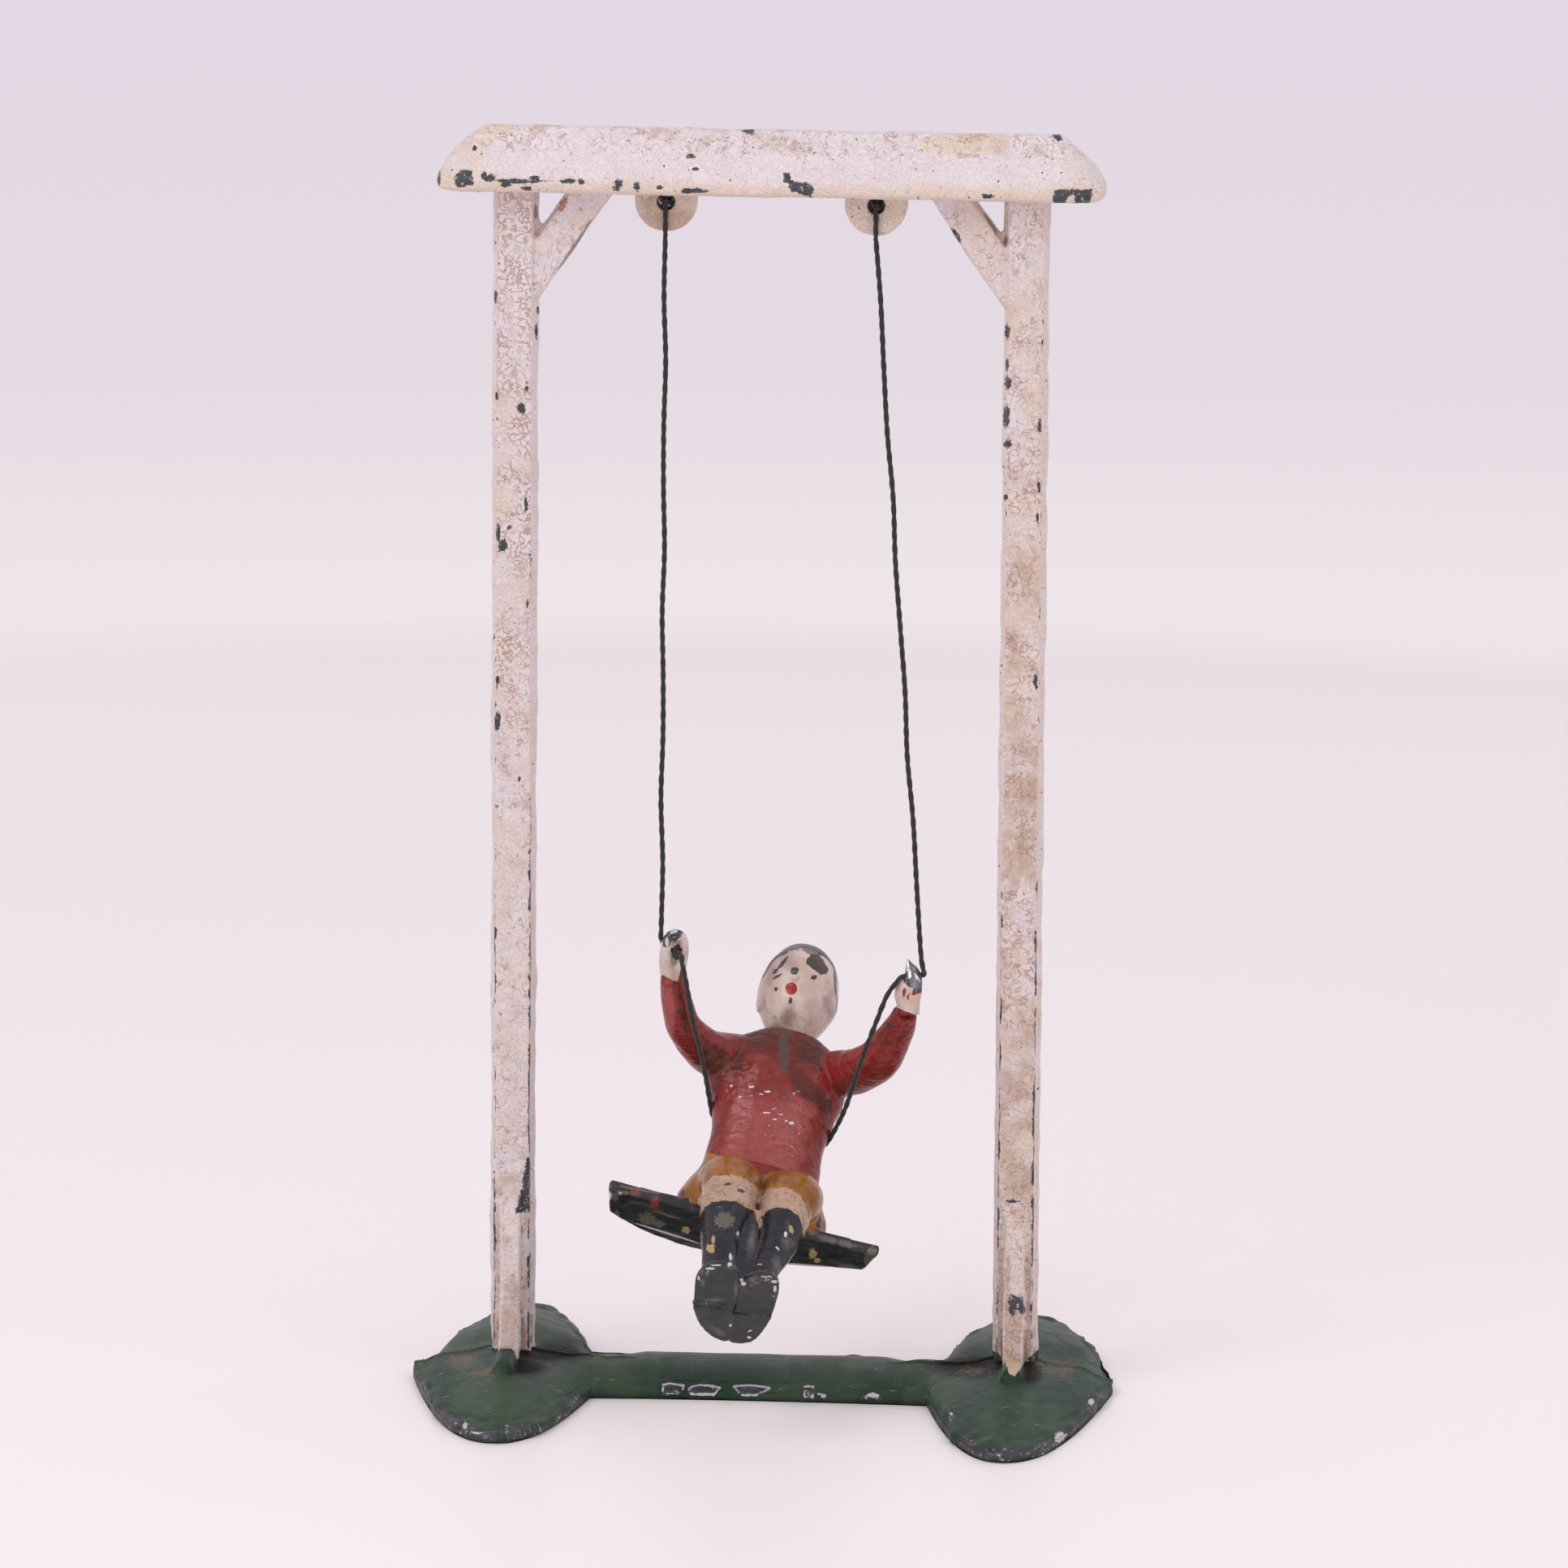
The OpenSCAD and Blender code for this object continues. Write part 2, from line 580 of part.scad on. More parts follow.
module right_tail() {
    tail(right_end, [0.95, 0, 0.8], right_hole, right_bore, right_route, 1);
}
module back_knot() {
    color(CORD) in_figure() translate([0, knot_y, WAIST_Z]) sphere(r = knot_r - 0.05, $fn = 32);
}

base_plate();
left_post();
right_post();
left_brace();
right_brace();
roof();
left_lug();
right_lug();
left_hitch();
right_hitch();
left_thread();
right_thread();
seat_board();
shorts();
jacket();
head();
hair();
left_arm();
right_arm();
left_hand();
right_hand();
left_leg();
right_leg();
left_boot();
right_boot();
left_tail();
right_tail();
back_knot();
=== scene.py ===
import math
from functools import reduce
from itertools import product

import bpy
import numpy as np
from mathutils import Matrix, Vector
from mathutils.bvhtree import BVHTree


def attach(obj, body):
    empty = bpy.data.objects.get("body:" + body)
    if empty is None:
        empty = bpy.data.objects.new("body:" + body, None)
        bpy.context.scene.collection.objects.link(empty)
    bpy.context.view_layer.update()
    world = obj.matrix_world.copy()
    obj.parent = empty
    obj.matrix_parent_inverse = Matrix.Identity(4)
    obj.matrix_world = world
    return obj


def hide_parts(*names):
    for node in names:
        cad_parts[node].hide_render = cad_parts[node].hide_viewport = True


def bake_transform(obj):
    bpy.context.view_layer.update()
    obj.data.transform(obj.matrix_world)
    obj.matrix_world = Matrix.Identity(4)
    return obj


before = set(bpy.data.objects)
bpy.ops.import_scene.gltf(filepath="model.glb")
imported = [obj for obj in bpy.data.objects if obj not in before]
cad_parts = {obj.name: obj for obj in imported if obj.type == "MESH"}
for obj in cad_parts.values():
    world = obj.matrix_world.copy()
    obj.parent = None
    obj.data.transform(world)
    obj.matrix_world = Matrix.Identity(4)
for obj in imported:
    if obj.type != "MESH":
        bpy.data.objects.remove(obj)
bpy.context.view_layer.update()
MM = 0.001


# Numbers and noise
def unit(v):
    v = np.asarray(v, float)
    return v / np.linalg.norm(v, axis=-1, keepdims=True)


def spin(axis, degrees):
    return np.array(Matrix.Rotation(math.radians(degrees), 3, axis))


def smooth_path(stops, per):
    """Rows of numbers on a smooth curve through every stop, `per` steps to a stop."""
    p = np.asarray(stops, float)
    q = np.vstack([2 * p[0] - p[1], p, 2 * p[-1] - p[-2]])
    rows = []
    for k in range(len(p) - 1):
        a, b, c, d = q[k:k + 4]
        for t in np.arange(per) / per:
            rows.append(0.5 * (2 * b + (c - a) * t + (2 * a - 5 * b + 4 * c - d) * t * t
                               + (3 * b - a - 3 * c + d) * t ** 3))
    rows.append(p[-1])
    return np.array(rows)


def grain(points, size, seed):
    """Smooth noise between -1 and 1, with lumps about `size` across."""
    side = 32
    table = np.random.default_rng(seed).uniform(-1, 1, (side, side, side))
    p = points / size + 1000
    cell = np.floor(p).astype(int)
    f = p - cell
    f = f * f * (3 - 2 * f)
    total = np.zeros(len(p))
    for corner in product((0, 1), repeat=3):
        weight = np.prod(np.abs(1 - np.array(corner) - f), axis=1)
        total += weight * table[tuple((cell + corner).T % side)]
    return total


def ramp(x, low, high):
    """Smooth rise from 0 at `low` to 1 at `high`."""
    t = np.clip((x - low) / (high - low), 0, 1)
    return t * t * (3 - 2 * t)


# Camera
YAW, PITCH, ROLL = map(math.radians, (3.344, 13.5, 0.432))
DISTANCE, AIM = 1250.0, np.array([0, 0, 54.0])
PICTURE, PIXEL = 1932, 0.07
MIDDLE = PICTURE / 2
AIM_SEEN_AT = (945.65, 962.33)
FOCAL = DISTANCE / PIXEL
FORWARD = np.array([-math.sin(YAW) * math.cos(PITCH), math.cos(YAW) * math.cos(PITCH),
                    -math.sin(PITCH)])
RIGHT = np.array([math.cos(YAW), math.sin(YAW), 0])
UP = np.cross(RIGHT, FORWARD)
PAN = [(at - MIDDLE) * PIXEL for at in AIM_SEEN_AT]
COS, SIN = math.cos(ROLL), math.sin(ROLL)
EYE = (AIM - FORWARD * DISTANCE - RIGHT * (PAN[0] * COS + PAN[1] * SIN)
       + UP * (PAN[1] * COS - PAN[0] * SIN))
VIEW_X = RIGHT * COS + UP * SIN
VIEW_Y = UP * COS - RIGHT * SIN


def add_camera():
    data = bpy.data.cameras.new("camera")
    data.sensor_width = 36
    data.lens = data.sensor_width * FOCAL / PICTURE
    data.clip_start = 0.05
    data.clip_end = 20
    camera = add_object("camera", data)
    turn = Matrix([list(row) for row in np.array([VIEW_X, VIEW_Y, -FORWARD]).T])
    camera.matrix_world = Matrix.Translation(Vector(EYE * MM)) @ turn.to_4x4()
    bpy.context.scene.camera = camera


def picture(points):
    """Where points in mm fall in the picture, in its pixels."""
    p = np.asarray(points, float) - EYE
    depth = p @ FORWARD
    return np.stack([MIDDLE + FOCAL * (p @ VIEW_X) / depth,
                     MIDDLE - FOCAL * (p @ VIEW_Y) / depth], axis=-1)


# Closed forms
def loft(rings):
    """Closed form through rings that all have the same number of points."""
    n, last = len(rings[0]), len(rings) - 1
    verts = [p for ring in rings for p in ring]
    verts += [np.mean(rings[0], axis=0), np.mean(rings[-1], axis=0)]
    faces = []
    for i in range(n):
        j = (i + 1) % n
        faces.append((j, i, len(verts) - 2))
        faces.append((last * n + i, last * n + j, len(verts) - 1))
        for k in range(last):
            faces.append((k * n + i, k * n + j, k * n + n + j, k * n + n + i))
    return np.array(verts, float), faces


def limb(stops, side, n=40, per=8):
    """Round limb; a stop is [x, y, z, half width, half depth]."""
    rows = smooth_path(stops, per)
    rings = []
    angle = 2 * np.pi * np.arange(n) / n
    for i, row in enumerate(rows):
        ahead = unit(rows[min(i + 1, len(rows) - 1), :3] - rows[max(i - 1, 0), :3])
        v = unit(np.cross(ahead, side))
        u = np.cross(v, ahead)
        rings.append(row[:3] + np.outer(row[3] * np.cos(angle), u)
                     + np.outer(row[4] * np.sin(angle), v))
    return loft(rings)


def stack(stops, n=48):
    """Upright form; a stop is [centre x, centre y, height, half width, half depth]."""
    angle = 2 * np.pi * np.arange(n) / n
    return loft([np.stack([x + a * np.cos(angle), y + b * np.sin(angle), np.full(n, z)], axis=-1)
                 for x, y, z, a, b in smooth_path(stops, 8)])


def prism(outline, low, high):
    """Upright form with a flat top and bottom."""
    ring = np.asarray(outline, float)
    return loft([np.column_stack([ring, np.full(len(ring), z)]) for z in (low, high)])


# Skins
class Skin:
    """Mesh in mm whose points carry a tag, and numbers for the materials."""

    def __init__(self, verts, faces, tags):
        self.verts, self.faces, self.tags = verts, faces, tags
        pairs = np.concatenate([self.faces[:, [i, (i + 1) % 4]] for i in range(4)])
        self.a, self.b = pairs[:, 0], pairs[:, 1]
        self.count = sum(np.bincount(end, minlength=len(verts)) for end in (self.a, self.b))
        self.values = {}

    def spread(self, values, rounds=1):
        """Each round gives a point the mean of its own value and its neighbours' mean."""
        flat = values.ndim == 1
        v = values[:, None] if flat else values
        for _ in range(rounds):
            total = np.stack([np.bincount(self.a, c[self.b], len(c))
                              + np.bincount(self.b, c[self.a], len(c)) for c in v.T], axis=-1)
            v = 0.5 * (v + total / np.maximum(self.count, 1)[:, None])
        return v[:, 0] if flat else v

    def relax(self, rounds):
        """Smooths the skin and gives back the size that smoothing takes away."""
        for _ in range(rounds):
            for share in (1.0, -1.04):
                self.verts = self.verts + share * (self.spread(self.verts) - self.verts)

    def normals(self):
        q = self.verts[self.faces]
        face = np.cross(q[:, 2] - q[:, 0], q[:, 3] - q[:, 1])
        total = np.zeros_like(self.verts)
        for k in range(4):
            np.add.at(total, self.faces[:, k], face)
        return total / np.maximum(np.linalg.norm(total, axis=1, keepdims=True), 1e-12)

    def bulge(self, rounds=3):
        """How far each point stands out of its surroundings, in mm."""
        soft = self.spread(self.verts, 4)
        out = np.sum((self.verts - soft) * self.normals(), axis=1)
        return self.spread(out, rounds)

    def push(self, amount):
        self.verts = self.verts + self.normals() * np.asarray(amount)[:, None]


def add_object(name, data):
    obj = bpy.data.objects.new(name, data)
    bpy.context.scene.collection.objects.link(obj)
    return obj


def fuse(sources, voxel, rounds):
    """One skin round all the sources, as on a casting; a point's tag is its source."""
    verts, faces, owner = [], [], []
    for tag, (v, f) in enumerate(sources):
        faces += [tuple(i + len(verts) for i in face) for face in f]
        owner += [tag] * len(f)
        verts += [tuple(p) for p in v]
    mesh = bpy.data.meshes.new("fuse")
    mesh.from_pydata(verts, [], faces)
    obj = add_object("fuse", mesh)
    mod = obj.modifiers.new("fuse", "REMESH")
    mod.mode = "VOXEL"
    mod.voxel_size = voxel
    graph = bpy.context.evaluated_depsgraph_get()
    done = obj.evaluated_get(graph).to_mesh()
    points = np.empty((len(done.vertices), 3))
    done.vertices.foreach_get("co", points.ravel())
    quads = np.empty((len(done.polygons), 4), dtype=int)
    done.loops.foreach_get("vertex_index", quads.ravel())
    tree = BVHTree.FromPolygons(verts, faces)
    tags = np.array([owner[tree.find_nearest(Vector(p))[2]] for p in points])
    bpy.data.meshes.remove(mesh)
    skin = Skin(points, quads, tags)
    skin.relax(rounds)
    return skin


def node_form(name):
    """A CAD node's own shape, in mm."""
    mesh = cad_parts[name].data
    return np.array([v.co for v in mesh.vertices]) / MM, [tuple(p.vertices) for p in mesh.polygons]


def add_piece(name, verts, faces, material, slot, body=None, replaces=(), values=None, normals=None):
    """Mesh object from points in mm, with its material, its body and the nodes it stands for."""
    mesh = bpy.data.meshes.new(name)
    mesh.from_pydata([tuple(p) for p in np.asarray(verts) * MM], [], [tuple(f) for f in faces])
    mesh.polygons.foreach_set("use_smooth", [True] * len(mesh.polygons))
    mesh.update()
    for key, numbers in (values or {}).items():
        mesh.attributes.new(key, "FLOAT", "POINT").data.foreach_set("value", np.asarray(numbers, float))
    if normals is not None:
        mesh.normals_split_custom_set_from_vertices([tuple(n) for n in normals])
    mesh.materials.append(material)
    obj = add_object(name, mesh)
    if body:
        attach(obj, body)
    if replaces:
        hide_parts(*replaces)
    return obj


def split(skin, pieces):
    """Pieces from a skin: each is (name, tags, material, slot, body, replaced nodes)."""
    normals = skin.normals()
    face_tags = skin.tags[skin.faces[:, 0]]
    for name, tags, material, slot, body, nodes in pieces:
        chosen = skin.faces[np.isin(face_tags, tags)]
        used, index = np.unique(chosen, return_inverse=True)
        add_piece(name, skin.verts[used], index.reshape(-1, 4), material, slot, body, nodes,
                  {k: v[used] for k, v in skin.values.items()}, normals[used])


def outline_field(points, outline):
    """Distance in mm inside (+) or outside (-) an outline given in the picture's pixels."""
    uv = picture(points)
    ring = np.asarray(outline, float)
    nearest = np.full(len(uv), 1e9)
    inside = np.zeros(len(uv), bool)
    for a, b in zip(ring, np.roll(ring, -1, axis=0)):
        ab = b - a
        t = np.clip(((uv - a) @ ab) / (ab @ ab), 0, 1)
        nearest = np.minimum(nearest, np.linalg.norm(uv - a - t[:, None] * ab, axis=1))
        crosses = (a[1] > uv[:, 1]) != (b[1] > uv[:, 1])
        slope = (b[0] - a[0]) / (b[1] - a[1]) if b[1] != a[1] else 0.0
        inside ^= crosses & (uv[:, 0] < a[0] + slope * (uv[:, 1] - a[1]))
    return np.where(inside, 1, -1) * nearest * PIXEL


def highest_field(points, outlines):
    """The outline field of the outline that each point lies deepest in."""
    return np.max([outline_field(points, outline) for outline in outlines], axis=0)


def in_sight(normals):
    """Whether each point faces the camera, or nearly does."""
    return (normals @ FORWARD) < 0.15


def marks(points, normals, table):
    """Highest over the marks of 1 at a mark's middle to 0 at its edge, and down to -1.

    A mark is a spot, (across, down, half width, half height) in the picture's pixels with
    an optional turn in degrees, or else an outline. It shows only on what faces the camera."""
    uv = picture(points)
    best = np.full(len(points), -1.0)
    for mark in table:
        if isinstance(mark[0], tuple):
            field = np.clip(3 * outline_field(points, mark), -1, 1)
        else:
            du, dv = (uv - mark[:2]).T
            turn = math.radians(mark[4]) if len(mark) > 4 else 0
            a = (du * math.cos(turn) + dv * math.sin(turn)) / mark[2]
            b = (-du * math.sin(turn) + dv * math.cos(turn)) / mark[3]
            field = 1 - np.hypot(a, b)
        best = np.maximum(best, field)
    return np.where(in_sight(normals), best, -1.0)


# Inks and materials
# Painted light among the inks: shade, the shaded cream, flesh in shadow, the sheen on black, the glints on
# dents and on lead, and in part the grime, brown red, pale red and bright.
INKS = {
    "cream": (238, 224, 230), "warm cream": (234, 213, 201), "rosy": (226, 202, 188), "tan": (200, 168, 148),
    "brown dash": (168, 124, 104), "speck": (150, 120, 100), "shaded cream": (122, 98, 82),
    "rust": (186, 112, 62), "green smear": (44, 66, 50), "hole": (24, 22, 22),
    "green": (38, 62, 46), "worn green": (62, 80, 63), "brushed green": (92, 98, 84), "shade": (24, 21, 17),
    "dry earth": (106, 92, 76), "scratch": (150, 150, 140), "lead glint": (206, 206, 208),
    "cream toe": (200, 174, 154), "dark lead": (50, 52, 57), "lead": (96, 97, 100),
    "scuffed lead": (178, 178, 181), "black": (25, 25, 32), "worn black": (44, 42, 51),
    "boot": (41, 43, 41), "worn boot": (58, 58, 55), "painted_sheen": (118, 116, 118), "ochre": (138, 84, 30),
    "light ochre": (170, 112, 54), "flesh": (208, 180, 168), "light flesh": (224, 205, 198),
    "knee": (178, 138, 108), "flesh in shadow": (140, 106, 88), "crack": (96, 70, 60), "red": (122, 38, 33),
    "light red": (146, 54, 48), "pale red": (176, 88, 84), "brown red": (74, 38, 32), "ruddy": (158, 38, 36),
    "mouth": (170, 32, 34), "dark mark": (32, 29, 32), "grey mark": (84, 74, 72), "grime_and_shade": (112, 80, 62),
    "dust": (108, 100, 88), "ochre chip": (182, 156, 112), "red chip": (134, 60, 57), "dent glint": (220, 194, 196),
    "steel": (138, 138, 144), "bright": (216, 214, 216), "thread": (20, 20, 21), "light thread": (52, 49, 49),
    "near floor": (247, 238, 242), "floor": (243, 233, 237), "far floor": (240, 230, 234),
    "horizon": (236, 227, 231)}


def srgb(rgb):
    return [c / 12.92 / 255 if c < 10.3 else ((c / 255 + 0.055) / 1.055) ** 2.4 for c in rgb] + [1.0]


def ink(name):
    return srgb(INKS[name])


class Nodes:
    """Short way to write the node tree of a material or a world."""

    def __init__(self, owner):
        owner.use_nodes = True
        self.tree = owner.node_tree
        self.tree.nodes.clear()

    def put(self, socket, value):
        if isinstance(value, bpy.types.NodeSocket):
            self.tree.links.new(value, socket)
        elif value is not None:
            socket.default_value = value

    def node(self, kind, *inputs, **settings):
        node = self.tree.nodes.new("ShaderNode" + kind)
        for key, setting in settings.items():
            setattr(node, key, setting)
        for socket, value in zip(node.inputs, inputs):
            self.put(socket, value)
        return node

    def math(self, operation, *values):
        return self.node("Math", *values, operation=operation).outputs[0]

    def vector(self, operation, a, b=None):
        node = self.node("VectorMath", a, b, operation=operation)
        return node.outputs["Value" if operation == "LENGTH" else "Vector"]

    def scaled(self, value, by, plus=0.0):
        return self.math("MULTIPLY_ADD", value, by, plus)

    def sum_of(self, *values):
        return reduce(lambda a, b: self.math("ADD", a, b), values)

    def all_of(self, *values):
        return reduce(lambda a, b: self.math("MULTIPLY", a, b), values)

    def any_of(self, *values):
        return reduce(lambda a, b: self.math("MAXIMUM", a, b), values)

    def step(self, value, low, high, to_low=0.0, to_high=1.0):
        return self.node("MapRange", value, low, high, to_low, to_high,
                         interpolation_type="SMOOTHSTEP").outputs[0]


class Paint(Nodes):
    """A material; lengths in it are in mm."""

    def __init__(self, name):
        self.material = bpy.data.materials.new(name)
        super().__init__(self.material)
        self.out = self.node("OutputMaterial")
        self.shader = self.node("BsdfPrincipled")
        self.put(self.out.inputs[0], self.shader.outputs[0])
        self.place = self.vector("MULTIPLY", self.node("TexCoord").outputs["Object"], (1 / MM,) * 3)

    def value(self, name):
        return self.node("Attribute", attribute_name=name).outputs["Fac"]

    def noise(self, size, detail=2.0, rough=0.5, shift=(0, 0, 0), stretch=(1, 1, 1)):
        place = self.vector("MULTIPLY", self.place, tuple(1 / s for s in stretch))
        place = self.vector("ADD", place, shift)
        return self.node("TexNoise", place, None, 1 / size, detail, rough).outputs[0]

    def mix(self, amount, a, b):
        node = self.node("Mix", amount, data_type="RGBA")
        self.put(node.inputs[6], a)
        self.put(node.inputs[7], b)
        return node.outputs[2]

    def coat(self, colour, name, where, strength=1.0):
        """An ink over a colour, where and as strongly as asked."""
        amount = where if strength == 1 else self.scaled(where, strength)
        return self.mix(amount, colour, ink(name))

    def cloudy(self, name, other, low, high, *noise):
        """An ink that turns into another one by noise."""
        return self.mix(self.step(self.noise(*noise), low, high), ink(name), ink(other))

    def torn(self, key, size=0.35, depth=1.5):
        """Where a field is over 0, with an edge torn by noise as flaked paint is."""
        ragged = self.scaled(self.noise(size, 6, 0.75, (4, 4, 1)), 2 * depth, -depth)
        return self.step(self.sum_of(self.value(key), ragged), 0.0, 0.06)

    def patchy(self, key, size, low, high, shift, depth=1.2):
        """A field broken up by noise, from 0 to 1."""
        noise = self.scaled(self.noise(size, 5, 0.65, shift), 2 * depth, -depth)
        return self.step(self.sum_of(self.value(key), noise), low, high)

    def veins(self, low, high, *noise):
        """Thin lines where noise passes its middle value."""
        line = self.math("ABSOLUTE", self.scaled(self.noise(*noise), 1.0, -0.5))
        return self.step(line, low, high, 1, 0)

    def lead(self):
        """Colour of bare cast metal, dull grey with brighter scuffs."""
        scuffs = self.step(self.noise(0.4, 4, 0.65, (7, 3, 1)), 0.56, 0.68)
        dull = self.mix(self.noise(1.5, 3, 0.6, (3, 9, 4)), ink("dark lead"), ink("lead"))
        return self.coat(dull, "scuffed lead", scuffs)

    def finish(self, colour, metal, rough, height, strength=1.0):
        bump = self.node("Bump")
        for node, name, value in ((self.shader, "Base Color", colour), (self.shader, "Metallic", metal),
                                  (self.shader, "Roughness", rough), (bump, "Strength", strength),
                                  (bump, "Distance", MM), (bump, "Height", height),
                                  (self.shader, "Normal", bump.outputs[0])):
            self.put(node.inputs[name], value)
        return self.material


def cream_material():
    p = Paint("cream_paint")
    colour = p.mix(p.patchy("warm", 4, -0.15, 0.75, (0, 0, 0)), ink("cream"), ink("warm cream"))
    colour = p.coat(colour, "rosy", p.step(p.noise(2.2, 5, 0.65, (5, 5, 5)), 0.47, 0.66), 0.3)
    colour = p.coat(colour, "tan", p.patchy("tan", 3, -0.2, 0.5, (8, 3, 5)), 0.8)
    # Short brown dashes lie in the hollows of the wrinkled paint
    wrinkle = p.veins(0.015, 0.065, 0.62, 2, 0.6, (1, 1, 6))
    clear = p.step(p.noise(3.0, 3, 0.6, (2, 6, 4)), 0.36, 0.56)
    dashes = p.all_of(wrinkle, clear, p.patchy("grime_and_shade", 0.7, -0.2, 0.4, (9, 2, 2), 1.8))
    colour = p.coat(colour, "brown dash", dashes, 0.7)
    colour = p.coat(colour, "speck", p.step(p.noise(0.28, 3, 0.6, (3, 9, 6)), 0.63, 0.7), 0.5)
    # Painted shade in corners and grooves and along the braces' edges; the cream is also darker at the foot
    # of the posts.
    colour = p.coat(colour, "shaded cream", p.patchy("dirt_and_shade", 0.9, 0.3, 0.9, (2, 8, 1), 0.8), 0.75)
    colour = p.coat(colour, "rust", p.torn("rust"), 0.8)
    along = p.scaled(p.noise(0.6, 5, 0.7, (2, 2, 1), (1, 1, 2)), 3.0, -1.5)
    far = p.scaled(p.noise(3, 2, 0.5, (7, 7, 7)), 2.0, -1.0)
    worn = p.step(p.sum_of(p.value("edge"), along, far), 1.0, 1.1)
    pits = p.step(p.noise(0.35, 1, 0.5, (8, 1, 3)), 0.74, 0.77)
    bare = p.any_of(p.torn("chip"), worn, pits)
    colour = p.mix(bare, colour, p.lead())
    colour = p.coat(colour, "green smear", p.torn("green", 0.5, 0.8))
    colour = p.coat(colour, "hole", p.value("hole"))
    height = p.sum_of(p.scaled(p.noise(0.5, 4, 0.6), 0.06), p.scaled(p.noise(2.2, 3), 0.16),
                      p.scaled(wrinkle, -0.035), p.scaled(bare, -0.07))
    return p.finish(colour, p.scaled(bare, 0.5), p.scaled(p.noise(1.2, 3), 0.3, 0.3), height)


def green_material():
    p = Paint("green_paint")
    colour = p.cloudy("green", "worn green", 0.38, 0.66, 5, 4, 0.6, (0, 0, 0), (1, 3, 1))
    brush = p.step(p.noise(0.7, 5, 0.7, (3, 3, 3), (1, 3, 1)), 0.52, 0.78)
    colour = p.coat(colour, "brushed green", brush, 0.3)
    colour = p.coat(colour, "shade", p.value("shade"))
    colour = p.coat(colour, "dry earth", p.patchy("dirt_and_shade", 0.32, 0.0, 0.4, (2, 8, 1), 2.2), 0.7)
    scratch = p.all_of(p.step(p.noise(0.45, 3, 0.6, (5, 1, 1), (6, 1, 1)), 0.66, 0.7),
                       p.step(p.noise(5, 2, 0.5, (1, 5, 2)), 0.5, 0.56))
    colour = p.coat(colour, "scratch", scratch, 0.8)
    pits = p.step(p.noise(0.5, 2, 0.5, (8, 1, 3)), 0.75, 0.78)
    bare = p.any_of(p.torn("chip", 0.7, 1.3), pits)
    colour = p.mix(bare, colour, p.lead())
    # Painted glints on the bare lead: bright flecks on the chips and a bright rim round the bar's chips.
    colour = p.coat(colour, "lead glint", p.torn("bright", 0.5, 1.2))
    colour = p.coat(colour, "cream toe", p.torn("cream", 0.5, 0.6))
    height = p.sum_of(p.scaled(p.noise(0.7, 4, 0.6), 0.04), p.scaled(p.noise(3, 3), 0.1),
                      p.scaled(bare, -0.12))
    p.put(p.shader.inputs["Specular IOR Level"], p.scaled(p.value("shade"), -0.12, 0.14))
    return p.finish(colour, p.scaled(bare, 0.5), p.scaled(p.noise(1.4, 3), 0.3, 0.25), height)


